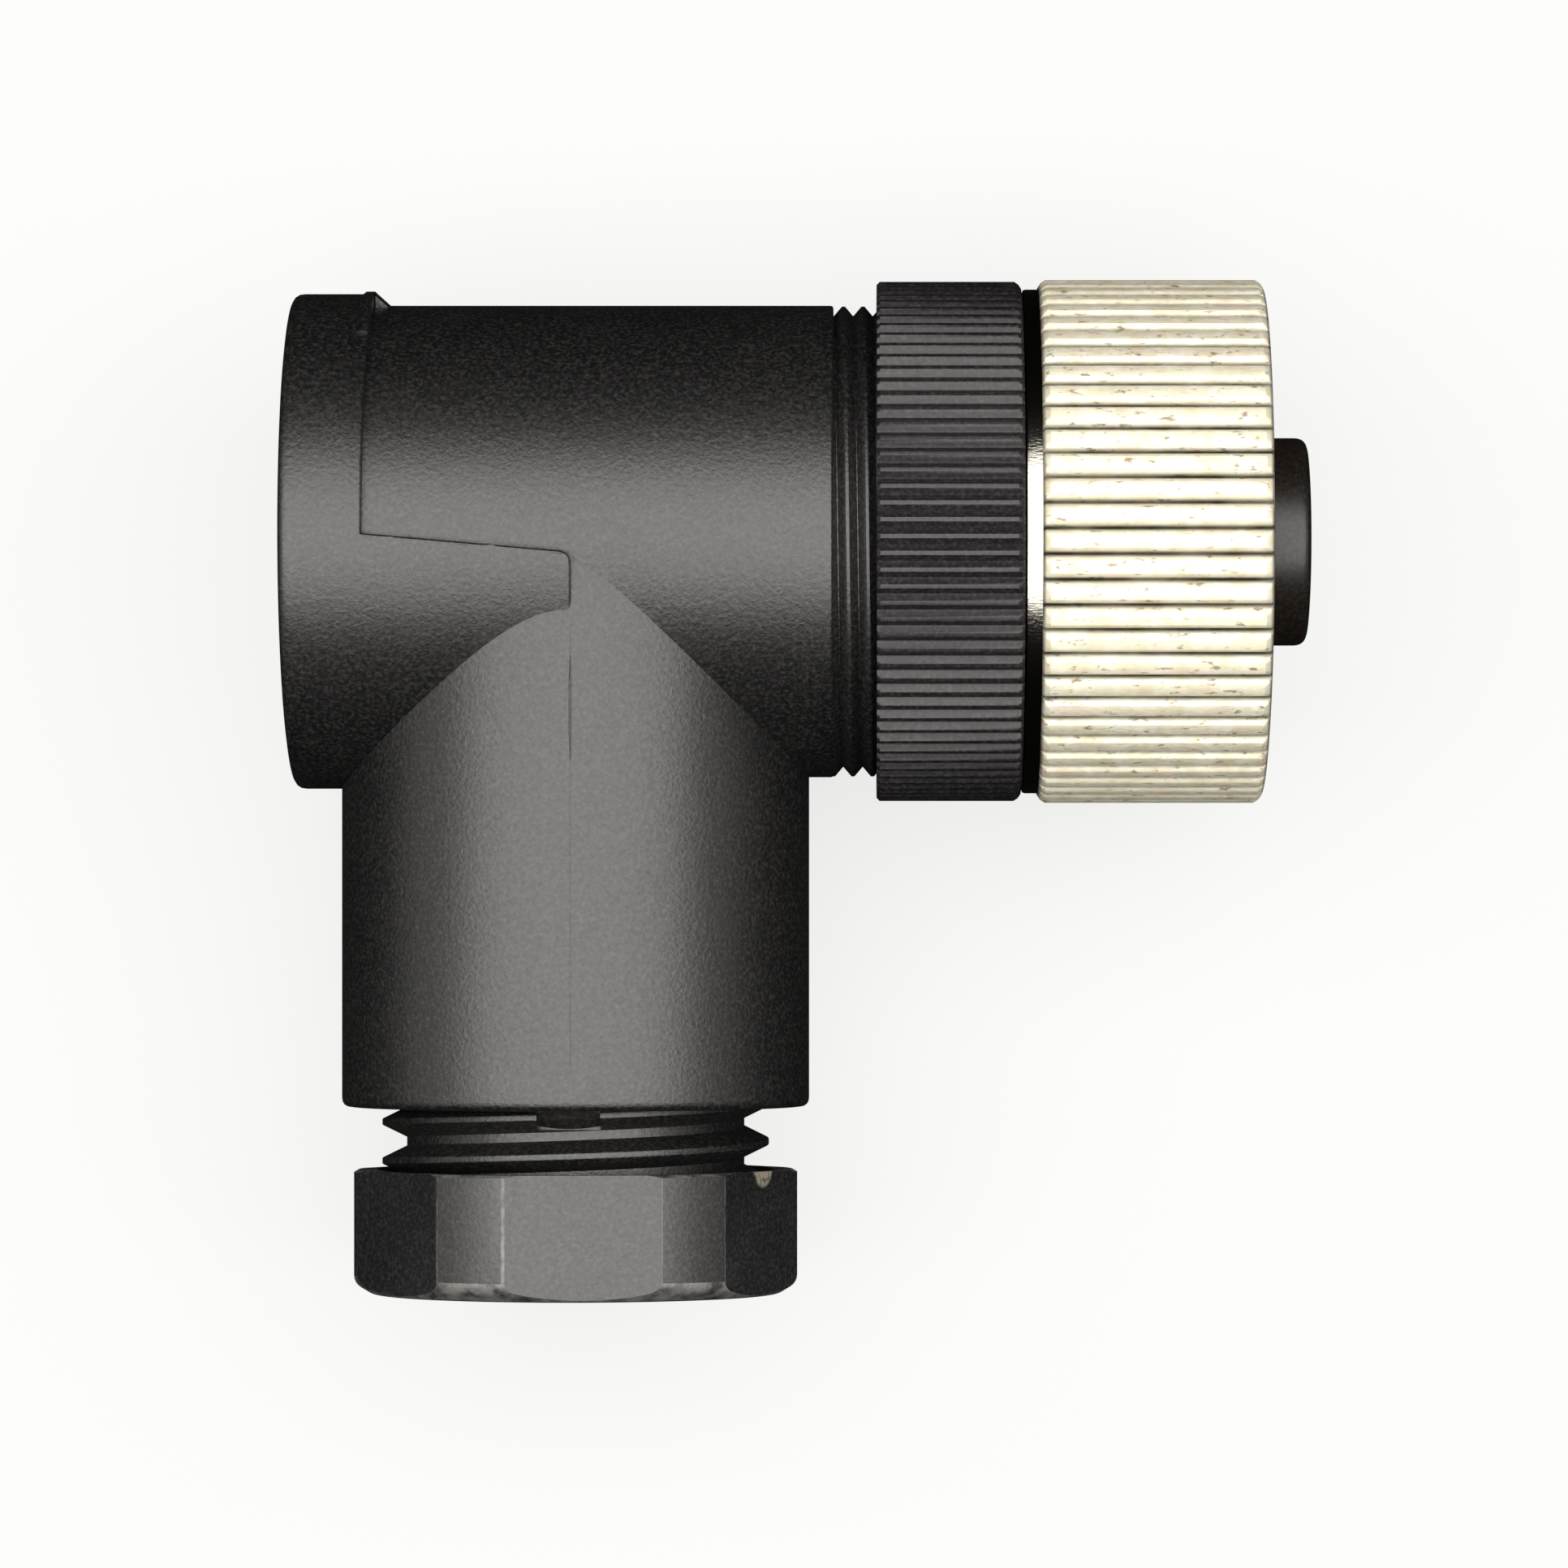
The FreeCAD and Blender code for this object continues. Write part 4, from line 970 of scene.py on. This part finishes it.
rim = choose(cap, "EDGE", lambda edge: all(
    abs(math.hypot(vertex.co.y, vertex.co.z) - cap_radius) < 0.002 and vertex.co.y < cap_radius * tab_side and (
        abs(vertex.co.x - seam_x) < 0.002
        or (vertex.co.x > seam_x and vertex.co.y > SKIRT_TOP_FRONT - SKIRT_CORNER - 0.02)
        or abs(vertex.co.x - skirt_front) < 0.002
    ) for vertex in edge.verts
) and edge.calc_face_angle(0) > math.radians(40))
bpy.ops.mesh.bevel(offset=CAP_RIM_EDGE, segments=3, affect="EDGES")
print("edges rounded on the cap's rim and skirt:", rim)
settle(cap, "housing", "rear_cap", housing_plastic)

# %% [markdown]
# ## Gland nut
#
# A hexagon bar with each corner cut to a narrow flat, its ends coned by a cutter. The cone leaves the
# arc-shaped lower edges that catch the light. A six-sided cylinder is added, its long edges are
# bevelled to flats, and it is intersected with a turned envelope.

# %% Hexagon
HEX_FLATS = 16.0
CORNER_FLATS = 16.82
HEX_TURN = -4.0
HEX_WIDEST = 8.52
HEX_BORE = 7.5
HEX_FLOOR = 27.67
HEX_HOLE = 4.35

object_mode()
corner_radius = HEX_FLATS / 2 / math.cos(math.pi / 6)
bpy.ops.mesh.primitive_cylinder_add(
    vertices=6, radius=corner_radius, depth=HEX_END - HEX_START,
    location=((HEX_START + HEX_END) / 2, 0, 0), rotation=(0, math.pi / 2, 0),
)
gland_nut = named("hexagon_gland_nut")
print("hexagon corners:", sorted({(round(v.co.y, 2), round(v.co.z, 2)) for v in gland_nut.data.vertices}))
editing(gland_nut)
choose(gland_nut, "EDGE", lambda edge: abs(edge.verts[0].co.x - edge.verts[1].co.x) > 1)
bpy.ops.mesh.bevel(offset=(corner_radius - CORNER_FLATS / 2) * 2 / math.sqrt(3), offset_type="OFFSET", segments=1)
bpy.ops.object.mode_set(mode="OBJECT")
boolean(gland_nut, turn("envelope", rounded([
    (HEX_START, 1),
    (HEX_START, HEX_WIDEST - 0.15),
    (HEX_START + 0.1, HEX_WIDEST + 0.02),
    (HEX_END - 0.42, HEX_WIDEST + 0.02, 0.3),
    (HEX_END, HEX_WIDEST - 0.67, 0.15),
    (HEX_END, 1),
])), "INTERSECT")
boolean(gland_nut, turn("hex_bore", [
    (HEX_START - 1, HEX_BORE + 0.15), (HEX_START, HEX_BORE + 0.15), (HEX_START + 0.15, HEX_BORE),
    (HEX_FLOOR, HEX_BORE), (HEX_FLOOR, GLAND_BORE), (HEX_FLOOR + 0.7, GLAND_BORE - 0.7),
    (HEX_FLOOR + 0.7, HEX_HOLE), (HEX_END - 0.3, HEX_HOLE), (HEX_END, HEX_HOLE + 0.3), (HEX_END + 1, HEX_HOLE + 0.3),
]))
only(gland_nut)
gland_nut.rotation_euler = (math.radians(HEX_TURN), 0, 0)
bpy.ops.object.transform_apply(location=True, rotation=True, scale=True)
soften(gland_nut, 0.08, 2, 20)
rubbed_faces = gland_nut.data.attributes.new("rubbed", "FLOAT", "FACE")
for face in gland_nut.data.polygons:
    middle = face.center
    outside = math.hypot(middle.y, middle.z) > HEX_FLATS / 2 - 0.1
    rubbed_faces.data[face.index].value = 1.0 if outside and face.area < 0.4 else 0.0
print("rubbed faces on the gland nut:", sum(part.value > 0 for part in rubbed_faces.data))
to_neck(gland_nut)
settle(gland_nut, "gland_nut", "gland_nut", gland_plastic, 20)

# %% [markdown]
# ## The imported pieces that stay
#
# Seals, contacts, screws and the rest of the insulator are right as they are packed. Each only gets
# its finish.

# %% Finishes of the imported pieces
finishes = {
    "index_flange": carrier_plastic, "terminal_block": carrier_plastic, "gland_seal": seal_rubber,
    "coupling_seal": seal_rubber, "housing_seal": seal_rubber, "rear_cap_seal": seal_rubber,
    "gland_washer": gland_plastic, "gland_cage": gland_plastic, "nut_clip": spring_steel,
}
for node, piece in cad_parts.items():
    if node.startswith("contact_") and node != "contact_carrier":
        finish = contact_brass
    elif node.startswith("terminal_screw"):
        finish = screw_steel
    else:
        finish = finishes.get(node, housing_plastic)
    piece.data.materials.clear()
    piece.data.materials.append(finish)
print(len(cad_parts), "packed pieces have their finish")

# %% [markdown]
# ## Studio
#
# The connector lies on a light table in a dark room, under one wide soft light above it and a little
# behind, with a weak strip at each side that draws the edges. The table glows evenly, which keeps the
# shadow faint, and shows to the camera only, so that it doesn't fill the black sides with light: they
# stay black on the picture. The camera looks straight down.

# %% Floor and camera
CAMERA_HEIGHT = 0.282
FRAME_WIDTH = 0.0605
CAMERA_SPOT = (-0.0172, -0.0151)
FRAME_CENTRE = (-0.02014, -0.00934)

object_mode()
bpy.ops.mesh.primitive_plane_add(size=3.0, location=(0, 0, cad_low.z))
floor = bpy.context.object
floor.name = "floor"
floor.visible_glossy = False
floor.visible_diffuse = False
floor_paint, floor_shader, floor_place = new_material("floor_paint")
floor_shader.inputs["Base Color"].default_value = (0.088, 0.088, 0.0875, 1)
floor_shader.inputs["Emission Color"].default_value = (1, 1, 0.99, 1)
floor_shader.inputs["Emission Strength"].default_value = 0.77
floor_shader.inputs["Roughness"].default_value = 0.9
floor_shader.inputs["Specular IOR Level"].default_value = 0.0
floor.data.materials.append(floor_paint)

camera_data = bpy.data.cameras.new("camera")
camera_data.sensor_width = 36.0
camera_data.lens = camera_data.sensor_width * CAMERA_HEIGHT / FRAME_WIDTH
camera_data.shift_x = (FRAME_CENTRE[0] - CAMERA_SPOT[0]) / FRAME_WIDTH
camera_data.shift_y = (FRAME_CENTRE[1] - CAMERA_SPOT[1]) / FRAME_WIDTH
camera_data.clip_start = 0.01
camera = bpy.data.objects.new("camera", camera_data)
camera.location = (*CAMERA_SPOT, CAMERA_HEIGHT)
bpy.context.scene.collection.objects.link(camera)
bpy.context.scene.camera = camera


# %% Lights
def softbox(name, place, target, size, power):
    """A soft light of a width and a depth, aimed at a point."""
    data = bpy.data.lights.new(name, "AREA")
    data.shape = "RECTANGLE"
    data.size, data.size_y = size
    data.energy = power
    light = bpy.data.objects.new(name, data)
    light.location = place
    way = [t - p for t, p in zip(target, place)]
    light.rotation_euler = Vector(way).to_track_quat("-Z", "Y").to_euler()
    bpy.context.scene.collection.objects.link(light)
    print(name, "gives", power, "W")
    return light


softbox("top_light", (0.03, 0.03, 0.6), (0.03, 0.03, 0), (1.7, 0.8), 21)
softbox("left_strip", (-0.5, -0.01, 0.1), (-0.02, -0.01, 0), (0.5, 0.15), 0.3)
softbox("right_strip", (0.5, -0.01, 0.1), (-0.02, -0.01, 0), (0.5, 0.15), 0.2)
world = bpy.data.worlds.new("dark_room")
world.use_nodes = True
world.node_tree.nodes["Background"].inputs["Color"].default_value = (1, 1, 1, 1)
world.node_tree.nodes["Background"].inputs["Strength"].default_value = 0.004
bpy.context.scene.world = world
bpy.context.scene.view_settings.view_transform = "Standard"
